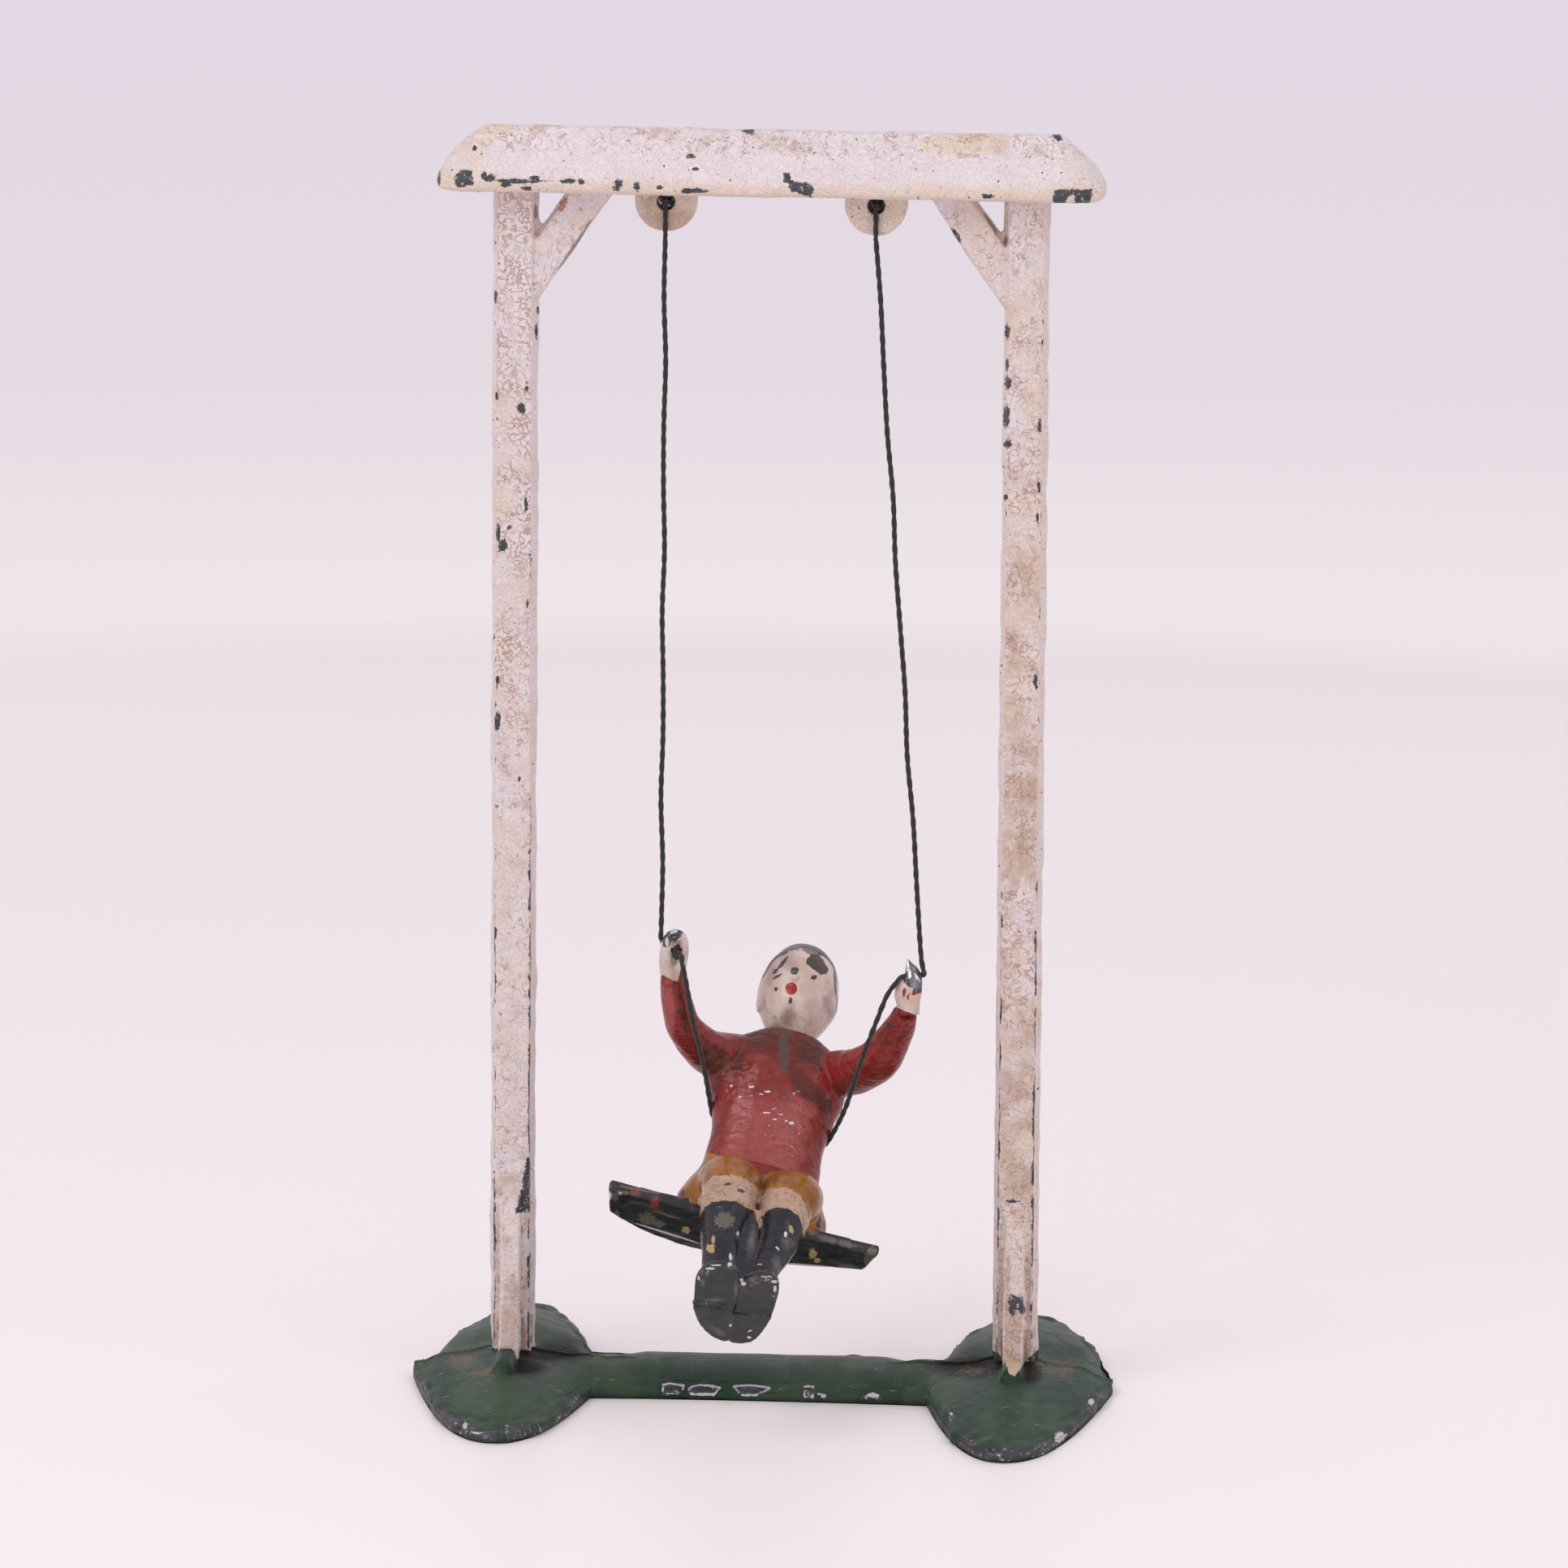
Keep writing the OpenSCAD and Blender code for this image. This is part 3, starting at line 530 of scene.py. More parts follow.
def figure_material(name):
    """Paints of the figure: each has a field, over a half where that paint lies."""
    p = Paint(name)
    blot = p.scaled(p.noise(0.5, 4, 0.65), 0.3, -0.15)

    def field(key):
        return p.step(p.sum_of(p.value(key), blot), 0.46, 0.54)

    mottle = p.step(p.noise(1.2, 4, 0.6), 0.4, 0.7)
    black = p.mix(mottle, ink("black"), ink("worn black"))
    black = p.mix(p.value("sole"), black, p.mix(mottle, ink("boot"), ink("worn boot")))
    # Painted sheen: soft lighter highlights on the black paint.
    black = p.coat(black, "painted_sheen", p.patchy("painted_sheen", 0.5, 0.0, 1.0, (4, 2, 9), 0.7), 0.6)
    ochre = p.cloudy("ochre", "light ochre", 0.38, 0.68, 1.8, 4, 0.6, (5, 1, 1))
    flesh = p.cloudy("flesh", "light flesh", 0.35, 0.65, 1.6, 4, 0.55, (1, 7, 1))
    flesh = p.coat(flesh, "knee", p.step(p.value("crazed"), -0.2, 0.2), 0.75)
    flesh = p.coat(flesh, "flesh in shadow", p.step(p.value("shadow"), 0, 0.9), 0.75)
    cracks = p.all_of(p.veins(0.004, 0.02, 1.1, 3, 0.6, (6, 2, 1)),
                      p.patchy("crazed", 0.8, -0.3, 0.3, (9, 2, 2), 1.2))
    flesh = p.coat(flesh, "crack", cracks, 0.7)
    red = p.cloudy("red", "light red", 0.35, 0.7, 1.8, 4, 0.6, (2, 2, 7))
    # Paler red is partly wear and partly painted highlight on the belly and along the arm's edges.
    red = p.coat(red, "pale red", p.patchy("pale", 1.2, -0.2, 1.0, (3, 1, 8), 0.8), 0.7)
    # Brown red is painted shade in hollows, at the armpits and under the right arm, and darker towards the
    # collar.
    red = p.coat(red, "brown red", p.patchy("brown", 1.2, -0.2, 0.8, (7, 1, 8), 0.8), 0.75)
    red = p.coat(red, "ruddy", p.step(p.value("ruddy"), 0, 0.6), 0.7)
    colour = p.mix(field("ochre"), black, ochre)
    colour = p.mix(field("flesh"), colour, flesh)
    colour = p.mix(field("red"), colour, red)
    colour = p.coat(colour, "mouth", p.step(p.sum_of(p.value("mouth"), blot), 0.0, 0.1))
    colour = p.coat(colour, "dark mark", p.torn("dark", 0.4, 0.8), 0.9)
    colour = p.coat(colour, "grey mark", p.torn("grey", 0.4, 1.2), 0.75)
    # Grime here is painted shade in hollows and creases, under the arms and below the chin.
    colour = p.coat(colour, "grime_and_shade", p.patchy("dirt_and_shade", 0.8, 0.3, 1.0, (2, 8, 1), 0.8), 0.5)
    colour = p.coat(colour, "dust", p.torn("dust", 0.3, 1.2), 0.85)
    colour = p.coat(colour, "ochre chip", p.torn("ochre_chip", 0.4))
    colour = p.coat(colour, "red chip", p.torn("red_chip", 0.4))
    # Light flecks on the dents are painted glints; the dents also raise the bump.
    glints_on_dents = p.all_of(p.step(p.noise(0.28, 4, 0.6, (5, 5, 2), (3.2, 1, 1)), 0.6, 0.66),
                     p.patchy("glinting_dents", 1.5, 0.2, 0.8, (4, 8, 8), 1.0))
    colour = p.coat(colour, "dent glint", glints_on_dents, 0.75)
    pits = p.step(p.noise(0.4, 2, 0.6, (8, 1, 3)), 0.73, 0.76)
    bare = p.any_of(p.torn("chip", 0.4), pits)
    colour = p.mix(bare, colour, p.lead())
    colour = p.coat(colour, "steel", p.torn("steel", 0.3, 0.8), 0.7)
    # Bright marks are painted glints and highlights, and on the seat its worn bright edge.
    colour = p.coat(colour, "bright", p.torn("bright", 0.3, 0.8))
    relief = 1.0 if name == "red_paint" else 0.3
    folds = p.scaled(p.noise(0.7, 2, 0.5, (1, 2, 4), (3, 1, 1)), 0.16 * relief)
    height = p.sum_of(p.scaled(p.noise(0.45, 3, 0.5), 0.04 * relief), p.scaled(p.noise(1.8, 2), 0.2 * relief),
                      folds, p.scaled(bare, -0.06), p.scaled(glints_on_dents, 0.12))
    p.shader.inputs["Specular IOR Level"].default_value = 0.5 if name == "black_paint" else 0.36
    return p.finish(colour, p.scaled(bare, 0.6), p.scaled(p.noise(1.0, 3), 0.3, 0.08), height)


def thread_material():
    p = Paint("thread")
    colour = p.mix(p.noise(0.25, 3, 0.6), ink("thread"), ink("light thread"))
    p.shader.inputs["Sheen Weight"].default_value = 0.3
    height = p.math("MULTIPLY", p.noise(0.12, 3, 0.6, (0, 0, 0), (1, 1, 4)), 0.05)
    return p.finish(colour, 0.0, 0.85, height)


# Stage
FLOOR_RADIUS, FLOOR_X = 299, -8
BACKDROP_FROM, BACKDROP_TO = -0.226, -0.183
BACKDROP = [(0.0, (237, 228, 232)), (0.15, (238, 229, 234)), (0.45, (229, 219, 227)), (1.0, (226, 216, 227))]
# Each lamp's place and width in mm, and its power in watts
LAMPS = {"key": ((-380, -420, 620), 420, 1.4), "fill": ((420, -300, 480), 380, 0.4)}
LAMPS_AIM = Vector((0, 0, 50))


def add_floor():
    floor = Paint("floor")
    y = floor.node("SeparateXYZ", floor.place).outputs[1]
    colour = floor.mix(floor.step(y, -60, 200), ink("near floor"), ink("floor"))
    colour = floor.coat(colour, "far floor", floor.step(y, 225, 296))
    floor.finish(colour, 0.0, 0.4, 0.0, 0.0)
    # For the camera the floor is a little brighter, and it fades into the backdrop
    radial = floor.vector("LENGTH", floor.place)
    edge = floor.any_of(floor.all_of(floor.step(radial, 190, 288), floor.step(y, 180, 260, 1, 0)),
                        floor.step(radial, 282, 297))
    plain = floor.shader.outputs[0]
    lift = floor.node("Emission", colour, 0.1).outputs[0]
    far = floor.node("Emission", ink("horizon"), 1.0).outputs[0]
    near = floor.node("AddShader", plain, lift).outputs[0]
    seen = floor.node("MixShader", edge, near, far).outputs[0]
    rays = floor.node("LightPath").outputs["Is Camera Ray"]
    floor.put(floor.out.inputs[0], floor.node("MixShader", rays, plain, seen).outputs[0])
    n = 256
    ring = [(FLOOR_RADIUS * math.cos(angle) + FLOOR_X, FLOOR_RADIUS * math.sin(angle), 0)
            for angle in (2 * math.pi * i / n for i in range(n))]
    add_piece("floor", ring, [tuple(range(n))], floor.material, None)


def add_world():
    """White light from all round; the camera and gloss see a backdrop instead."""
    studio = bpy.data.worlds.new("studio")
    bpy.context.scene.world = studio
    world = Nodes(studio)
    light = world.node("Background", (1.0, 0.98, 0.985, 1), 0.72).outputs[0]
    way = world.node("SeparateXYZ", world.node("TexCoord").outputs["Generated"])
    height = world.node("MapRange", way.outputs[2], BACKDROP_FROM, BACKDROP_TO).outputs[0]
    shade = world.node("ValToRGB", height)
    for i, (at, colour) in enumerate(BACKDROP):
        stop = shade.color_ramp.elements[i] if i < 2 else shade.color_ramp.elements.new(at)
        stop.position, stop.color = at, srgb(colour)
    seen = world.node("Background", shade.outputs[0]).outputs[0]
    rays = world.node("LightPath").outputs
    either = world.any_of(rays["Is Camera Ray"], rays["Is Glossy Ray"])
    blend = world.node("MixShader", either, light, seen).outputs[0]
    world.node("OutputWorld", blend)


def add_lamps():
    for name, (place, size, power) in LAMPS.items():
        data = bpy.data.lights.new(name, "AREA")
        data.shape = "DISK"
        data.size = size * MM
        data.energy = power
        turn = (LAMPS_AIM - Vector(place)).to_track_quat("-Z", "Y").to_matrix().to_4x4()
        add_object(name, data).matrix_world = Matrix.Translation(Vector(place) * MM) @ turn


# Base
POST_X = 21.9
FOOT_OUTER = 8.7
RIM = [(1.0, 0.0), (1.008, 0.25), (1.008, 0.55), (1.0, 0.78)]
EDGE_Z = 0.8
# Marks in the picture's pixels: spots and outlines, as marks() takes them
BASE_MARKS = {
    "earth": [(568, 1676, 30, 17), (600, 1690, 30, 9), (1305, 1684, 34, 18), (1170, 1662, 30, 6),
        (735, 1671, 12, 5), (1200, 1690, 30, 8)],
    "shade": [(678, 1664, 56, 16), (644, 1684, 34, 11), (1200, 1680, 56, 20), (1268, 1692, 18, 16)],
    "chip": [(1084, 1685, 8, 3), (558, 1756, 26, 11, 38), (593, 1767, 26, 8, 12), (636, 1764, 22, 11),
        (664, 1762, 14, 6, -20), (709, 1729, 8, 14, 35), (522, 1716, 7, 18, -15), (690, 1748, 12, 5, -30),
        (1172, 1744, 5, 7), (530, 1738, 5, 10, -25), (1190, 1778, 11, 11), (1230, 1793, 46, 7),
        (1289, 1785, 24, 10, -20), (1320, 1764, 18, 5, -45), (1200, 1788, 16, 5, 20),
        (1345, 1731, 8, 11, -20), (1358, 1718, 5, 10, 40)],
    # Painted glints on the bare lead of the chips.
    "bright": [(1307, 1771, 7, 7), (1345, 1727, 4, 4), (1281, 1791, 6, 2), (573, 1755, 3, 5, 20),
        (588, 1765, 8, 2), (1172, 1742, 3, 2), (1316, 1766, 2, 4)]}
CREAM_TOE = [[(1234, 1650), (1266, 1650), (1263, 1677), (1256, 1689), (1250, 1696), (1243, 1690),
              (1237, 1676)]]
BAR_CHIPS = [[(816, 1708), (824, 1705), (843, 1706), (838, 1716), (818, 1716)],
             [(849, 1710), (862, 1707), (887, 1709), (880, 1718), (850, 1717)],
             [(904, 1708), (925, 1706), (949, 1709), (934, 1718), (915, 1720)],
             [(990, 1710), (1003, 1710), (1003, 1721), (991, 1722)],
             [(1008, 1717), (1018, 1718), (1015, 1722)], [(1060, 1721), (1075, 1719), (1088, 1722)]]


def base_half(x, front):
    """Half depth of the base at a distance x from its middle, before or behind the posts."""
    side = abs(x)
    if front:
        deep, inner = (20.7 if x < 0 else 23.0), 8.3
    else:
        deep, inner = (20.7 if x < 0 else 21.6), 7.3
    outer = 7.7 if x < 0 and not front else FOOT_OUTER
    u = (side - POST_X) / (outer if side > POST_X else inner)
    bar = 5.6 * (1 + 0.2 * (side / POST_X) ** 3) if side < POST_X else 0
    return max(deep * max(0, 1 - abs(u) ** 2.3), bar)


def base_skin():
    """Domed plate, in columns across that follow its outline."""
    outer = POST_X + FOOT_OUTER * 0.985 * np.sin(np.linspace(0, np.pi / 2, 40))
    half = np.concatenate([np.linspace(0, POST_X, 90)[:-1], outer])
    columns = np.concatenate([-half[:0:-1], half])
    reach = np.pi / 2 * 0.94
    across = np.sin(np.linspace(-1, 1, 109) * reach) / math.sin(reach)
    across = np.unique(np.concatenate([across, np.linspace(-0.045, 0.045, 19)]).round(5))
    verts = []
    for x in columns:
        front, back = base_half(x, True), base_half(x, False)
        top = 2.2 + math.exp(-((abs(x) - POST_X) / 3.2) ** 2)
        top -= ramp(abs(x), POST_X + 5.5, POST_X + 8.6)
        line = [(-r, z) for r, z in RIM[:-1]]
        line += [(s, EDGE_Z + (top - EDGE_Z) * (1 - abs(s) ** 2.2)) for s in across]
        line += [(r, z) for r, z in RIM[::-1][1:]]
        verts += [(x, (front if s < 0 else back) * s, z) for s, z in line]
    m = len(line)
    starts = [i * m for i in range(len(columns) - 1)]
    faces = [(k + j, k + m + j, k + m + j + 1, k + j + 1) for k in starts for j in range(m - 1)]
    faces += [(k, k + m - 1, k + m + m - 1, k + m) for k in starts]
    return Skin(np.array(verts), np.array(faces), np.zeros(len(verts), int))


def add_base(material):
    skin = base_skin()
    verts, normals = skin.verts, skin.normals()
    x, y, z = verts.T
    # The front half ends in a raised ragged edge along the parting line, and the rim wavers
    apart = y - 0.35 * grain(verts * (1, 0, 0), 2.2, 5) - 0.22 * grain(verts * (1, 0, 0), 0.8, 6)
    feet = ramp(np.abs(x), 10, 13)
    step = 0.16 * np.exp(-((apart + 0.25) / 0.3) ** 2) - 0.42 * ramp(apart, 0, 0.16) * (1 - ramp(apart, 3, 9))
    wave = 0.2 * grain(verts * (1, 1, 0), 3.5, 1) + 0.16 * grain(verts * (1, 1, 0), 1.1, 2)
    skin.verts = verts + normals * (wave * (z < 1.4) * (z > 0.01))[:, None]
    skin.verts[:, 2] += ramp(normals[:, 2], 0.2, 0.6) * (feet * step + 0.03 * grain(verts, 2.2, 3))
    # A green toe goes on in front of each post's front rib
    left = x < 0
    toe = np.exp(-(np.abs(np.abs(x) - POST_X - 0.25 * left) / 0.8) ** 14) * (z > 1) * ramp(-y, 3.6, 4.0)
    toe *= ramp(y + 0.7 * left, -8.0, -7.5)
    skin.verts[:, 2] = np.maximum(skin.verts[:, 2] + 0.85 * toe, 0)
    found = {key: marks(verts, normals, table) for key, table in BASE_MARKS.items()}
    values = skin.values
    values["dirt_and_shade"] = 1.3 * np.clip(found["earth"] + 0.3, 0, 1) - 0.75 - 2 * toe
    # Painted shade: a shadow line behind the raised parting edge, a dark line along the foot of the rim and
    # painted shadows beside the posts.
    lip_shadow = 0.9 * feet * np.exp(-((apart - 0.2) / 0.14) ** 2)
    shade_beneath = 0.7 * ramp(-z, -0.35, -0.1)
    painted_shadow = 0.95 * (1 - toe) * np.clip(1.6 * (found["shade"] + 0.25), 0, 1)
    values["shade"] = np.maximum(np.maximum(lip_shadow, shade_beneath), painted_shadow)
    values["cream"] = marks(skin.verts, normals, CREAM_TOE)
    # The bar's chips have a bright rim, a painted glint along the edge of the paint.
    patch = np.where(in_sight(normals), highest_field(verts, BAR_CHIPS), -1.0)
    low = ramp(-z, -0.5, -0.1) * (z > 0.01)
    chip = np.maximum(1.2 * found["chip"], 0.75 * low - 1.0)
    values["chip"] = np.maximum(chip, np.clip(6 * patch + 0.8, -1, 1.3))
    values["bright"] = np.maximum(found["bright"], 0.75 - 9 * np.abs(patch))
    split(skin, [("base_plate_cast", [0], material, "green_paint", "frame", ["base_plate"])])


# Upper frame
FRAME = ["left_post", "right_post", "left_brace", "right_brace", "roof", "left_lug", "right_lug"]
ROOF_Z = 105.8
LUG_X, HOLE_Z, HOLE_R = 9, 104.9, 0.7
# Warmer patches of the roof: across, down, half width and half height in pixels, and amount
WARM_PATCHES = [(1190, 177, 60, 15, 1.6), (640, 155, 80, 10, 0.6), (1330, 200, 30, 40, 0.45)]
FRAME_MARKS = {
    "flake": [(1263, 1120, 12, 36), (1267, 1180, 9, 46), (1256, 1216, 14, 14), (1253, 1572, 9, 34),
        (1240, 1150, 10, 16), (630, 1500, 9, 24), (640, 1545, 7, 40)],
    # Painted shade: dark lines along the braces' edges and where they meet the posts and the roof.
    "shade_line": [(709, 301, 72, 4, -56), (1221, 276, 31, 4, 57), (660, 262, 4, 16), (1239, 296, 5, 12)],
    "rust": [(693, 253, 4, 11, 25)],
    "green": [(603, 1652, 3, 26), [(590, 1668), (604, 1656), (612, 1664), (624, 1666), (632, 1676),
        (650, 1672), (670, 1668), (670, 1720), (590, 1720)], [(1215, 1662), (1226, 1665), (1234, 1671),
        (1238, 1700), (1262, 1700), (1266, 1674), (1276, 1666), (1290, 1652), (1290, 1720),
        (1215, 1720)]],
    "chip": [(597, 217, 4, 5), (603, 220, 7, 5), (640, 223, 32, 3), (623, 228, 7, 3), (648, 232, 6, 3),
        (658, 219, 6, 3), (700, 223, 10, 3), (716, 224, 4, 4), (762, 226, 5, 6), (759, 232, 7, 3),
        (785, 230, 4, 6), (813, 231, 5, 3), (853, 235, 18, 3), (541, 219, 2, 10), (585, 182, 3, 4),
        (851, 192, 6, 3), (857, 208, 5, 2), (923, 162, 8, 3), (1241, 409, 3, 9), (1241, 449, 2, 8),
        (1242, 471, 4, 9), (1240, 513, 4, 14), (1242, 547, 5, 5), (1239, 613, 3, 4), (1281, 526, 2, 10),
        (1280, 598, 2, 9), (1278, 638, 1.5, 7), (1276, 840, 3, 9), (1229, 856, 2, 3),
        (1303, 169, 7, 4, 38), (1218, 242, 7, 3), (1177, 290, 4, 10, -38), (1248, 1480, 9, 2),
        (1248, 1608, 5, 13), (1257, 1602, 4, 6), (1259, 1613, 4, 7), (642, 503, 5, 8, -30),
        (649, 478, 2, 8), (611, 365, 2, 9), (614, 655, 3, 9), (619, 672, 6, 7), (628, 650, 3, 3),
        (613, 889, 4, 10), (648, 622, 2, 12), (612, 488, 2, 6), (650, 745, 1.5, 8), (640, 960, 2, 5),
        (613, 840, 2, 8), (661, 408, 2, 9), (663, 382, 2, 4), [(648, 1426), (653, 1426), (653, 1494),
        (635, 1495), (638, 1480), (644, 1462)], [(561, 216), (567, 209), (582, 210), (584, 228),
        (570, 231), (560, 226)], [(965, 214), (973, 214), (975, 222), (984, 225), (999, 226), (1002, 232),
        (1001, 243), (992, 241), (984, 238), (973, 236), (972, 228), (966, 224)], [(1298, 236),
        (1306, 233), (1330, 234), (1346, 233), (1346, 243), (1340, 252), (1328, 251), (1322, 252),
        (1326, 246), (1322, 241), (1315, 242), (1312, 249), (1318, 253), (1300, 252), (1297, 246)]]}


def add_upper_frame(material):
    skin = fuse([node_form(name) for name in FRAME], 0.2, 3)
    v = skin.verts
    skin.push(0.06 * grain(v, 1.4, 11) + 0.07 * grain(v, 4, 12) + 0.03 * grain(v, 0.7, 13))
    bulge = skin.bulge()
    v, n = skin.verts, skin.normals()
    x, y, z = v.T
    roof, right = z > ROOF_Z, x > 0
    front = ramp(-n[:, 1], 0.6, 0.9)
    found = {key: marks(v, n, table) for key, table in FRAME_MARKS.items()}
    values = skin.values
    warm_roof = 1.1 * ramp(-z, -107.9, -106.7) + 0.55 * ramp(-x, 21, 25) - 0.3
    for across, down, wide, high, amount in WARM_PATCHES:
        away = np.hypot(*((picture(v) - (across, down)) / (wide, high)).T)
        warm_roof = warm_roof + amount * ramp(-away, -1.3, -0.6)
    values["warm"] = np.where(roof, warm_roof, np.where(right, 0.3, 0.2))
    low = ramp(-z, -88, -30)
    tan_post = np.where(right, 0.15 + 0.12 * low + 0.22 * ramp(-z, -82, -74), 0.15 * low)
    values["tan"] = np.where(roof, 0.45 * ramp(z, 108.6, 110) - 0.55, front * tan_post - 0.38)
    values["tan"] += front * np.where(right, 0.5 * ramp(-z, -14, -7), 0.4 * ramp(-z, -24, -12))
    values["tan"] -= 1.6 * np.clip(found["flake"] + 0.2, 0, 1)
    flat = np.abs(np.abs(x) - POST_X) < 1.75
    grime_post = np.where(flat, np.where(right, 0.8, 0.6 + ramp(z, 55, 75)), 0.7)
    values["grime_and_shade"] = np.where(roof, ramp(z, 108.2, 109.8) - 1.0, front * grime_post - 0.7)
    # Painted shade in corners and grooves, darker at the foot of the posts, and along the shade lines.
    shaded_corners = np.clip(-bulge * np.where(z < 24, 26, 14), 0, 1.2) + 0.4 * (z < 6) - 0.1
    values["dirt_and_shade"] = np.maximum(shaded_corners, 1.3 * found["shade_line"])
    arris = np.exp(-((np.abs(np.abs(x) - POST_X) - 1.5) / 0.16) ** 2) * (y < -1) * (z < 105)
    values["edge"] = np.maximum((0.6 + 0.6 * ramp(-z, -60, -35)) * arris, np.clip(bulge * 6, 0, 0.6))
    lugs = np.isin(skin.tags, [FRAME.index("left_lug"), FRAME.index("right_lug")])
    values["warm"][lugs] = 0.9
    values["tan"][lugs] = np.where(x[lugs] < 0, 0.6, -0.7) - 0.5 * ramp(z[lugs], 102.6, 104.5)
    for key in ("chip", "rust", "green"):
        values[key] = found[key]
    from_hole = np.hypot(np.abs(x) - LUG_X, z - HOLE_Z)
    values["hole"] = ramp(-from_hole, -0.84, -HOLE_R) * (z < 105.75)
    split(skin, [(name + "_cast", [i], material, "cream_paint", "frame", [name])
                 for i, name in enumerate(FRAME)])


# Figure, in its own frame: x runs to the picture's right, y behind the figure and z up
SIDES = {-1: "left_", 1: "right_"}
TWIST, LEAN, SWAY = 4.6, 40.0, 11.0
TURN = spin("Y", SWAY) @ spin("X", -LEAN) @ spin("Z", TWIST)
HOLES = {-1: np.array([-12.1, -10.25, 19.2]), 1: np.array([8.2, -13.35, 20.9])}
BORES = {-1: unit([0.66, -0.54, -0.52]), 1: unit([-0.89, -0.17, -0.45])}
HANDS_AT = np.array([2.4, -1.34, 38.15])
FIGURE_AT = HANDS_AT - TURN @ ((HOLES[-1] + HOLES[1]) / 2)
# The hands are laid out as the picture shows them: right of the hole, above it and nearer
TO_RIGHT, TO_TOP, TO_EYE = TURN.T @ VIEW_X, TURN.T @ VIEW_Y, TURN.T @ -FORWARD

# A stop of an arm or leg is x, y, z, half width and half depth
ARMS = {-1: [[-3.4, 0.4, 15.7, 2.1, 2.2], [-5, 0, 15.4, 2.1, 2.2], [-6.6, -1.2, 14.9, 1.95, 2],
             [-8.3, -3.1, 14.8, 1.65, 1.7], [-9.8, -5, 15.3, 1.45, 1.5], [-10.9, -7, 16.4, 1.25, 1.3],
             [-11.8, -8.6, 17.6, 1, 1]],
        1: [[3.2, 0.4, 15.9, 2.1, 2.2], [4.7, -1, 15.9, 2.05, 2.15], [6.1, -3, 15.7, 1.95, 2.1],
            [7.35, -5.4, 15.9, 1.7, 2], [8.0, -7.6, 16.7, 1.5, 1.7], [8.4, -9.6, 17.6, 1.3, 1.35],
            [8.5, -11.3, 18.3, 1, 1.05]]}
# Each knee's x and radius, each ankle, and the share of its full width that each calf has
KNEES = {-1: (-2.7, 2.2), 1: (2.3, 2.05)}
ANKLES = {-1: np.array([-2.3, -9.5, -10.6]), 1: np.array([1.25, -9.5, -10.3])}
CALF_SLIM = {-1: 1.0, 1: 0.84}
SOLES = {-1: [(0.1, -6.4), (-1.0, -6.2), (-1.75, -5.6), (-2.15, -4.5), (-2.25, -3.4), (-2.0, -1.8),
              (-1.6, -0.4), (-0.8, 1.1), (0.5, 2.2), (1.9, 2.4), (1.7, 0.6), (1.6, -1.4), (1.5, -3.0),
              (1.35, -4.8), (0.9, -5.9)],
         1: [(-2.0, -4.4), (-1.6, -5.1), (-0.9, -5.7), (0.4, -5.8), (1.05, -5.3), (1.35, -3.6),
             (1.3, -0.9), (0.65, 1.7), (-0.4, 2.6), (-1.5, 2.7), (-1.8, 1.0), (-1.85, -0.7), (-1.95, -2.4)]}
# Left fingers, round the hole: right of it, above it, half thickness and half width
FINGERS = [(-0.35, -2.9, 0.75, 0.7), (-0.5, -2.1, 0.7, 0.75), (-0.85, -1.2, 0.6, 0.58),
           (-0.95, -0.1, 0.5, 0.5), (-0.85, 0.85, 0.5, 0.5), (-0.35, 1.45, 0.5, 0.5),
           (0.3, 1.35, 0.45, 0.45), (0.7, 0.8, 0.4, 0.34), (0.8, -0.1, 0.4, 0.3),
           (0.72, -1.0, 0.45, 0.34), (0.35, -1.7, 0.6, 0.5), (-0.1, -2.3, 0.6, 0.6)]
PALM = [(-1.2, 0.5), (0, 0.75), (1.2, 0.5)]
# Right fist: right of the hole, above it, nearer, half width and half depth
FIST = [(-0.3, -3.3, 0.0, 0.95, 0.95), (-0.3, -2.4, 0.1, 1.0, 1.05), (-0.3, -1.6, 0.1, 1.2, 1.0),
        (-0.1, -0.9, 0.1, 1.12, 0.85), (0.12, -0.3, 0.1, 0.85, 0.65), (0.02, 0.35, 0.0, 0.68, 0.45),
        (-0.2, 0.95, 0.0, 0.36, 0.28), (-0.36, 1.5, 0.0, 0.07, 0.08)]
# Skull: y of the centre, share of the height, shares of the half width and half depth
SKULL = [(0.7, 0, 0.58, 0.57), (0.75, 0.08, 0.66, 0.64), (0.8, 0.19, 0.82, 0.84), (0.9, 0.31, 0.95, 1.0),
         (1.1, 0.45, 1, 1.06), (1.25, 0.6, 0.96, 1.04), (1.4, 0.74, 0.86, 0.95), (1.5, 0.86, 0.67, 0.75),
         (1.6, 0.95, 0.42, 0.47), (1.65, 1, 0.14, 0.16)]
SKULL_R, SKULL_H, CHIN_Z = 3.6, 9.6, 18.7
SEAT_HALF, SEAT_X, SEAT_Y, SEAT_DEEP, SEAT_BOW = 12, -0.8, -2.9, 4.6, 8.1 - 4.6
FIGURE_SLOTS = {"seat": "black_paint", "shorts": "ochre_paint", "jacket": "red_paint",
                "head": "flesh_paint", "hair": "black_paint"}
for word in SIDES.values():
    FIGURE_SLOTS |= {word + "arm": "red_paint", word + "hand": "flesh_paint", word + "leg": "black_paint",
                     word + "boot": "black_paint"}
FIGURE = list(FIGURE_SLOTS)


def placed(points):
    """Points of the figure's frame, in the part's frame."""
    return np.asarray(points, float) @ TURN.T + FIGURE_AT


def seat_outline(shift):
    s = np.linspace(-1, 1, 33)
    front = [(SEAT_X + SEAT_HALF * k, SEAT_Y - 0.35 * (1 - k * k)) for k in s]
    back = [(SEAT_X + SEAT_HALF * k * (1 - 0.06 * k * k),
             SEAT_Y + shift + SEAT_DEEP - 0.4 * k + (SEAT_BOW - 1.2 * k) * (1 - k * k)) for k in s[::-1]]
    return front + back


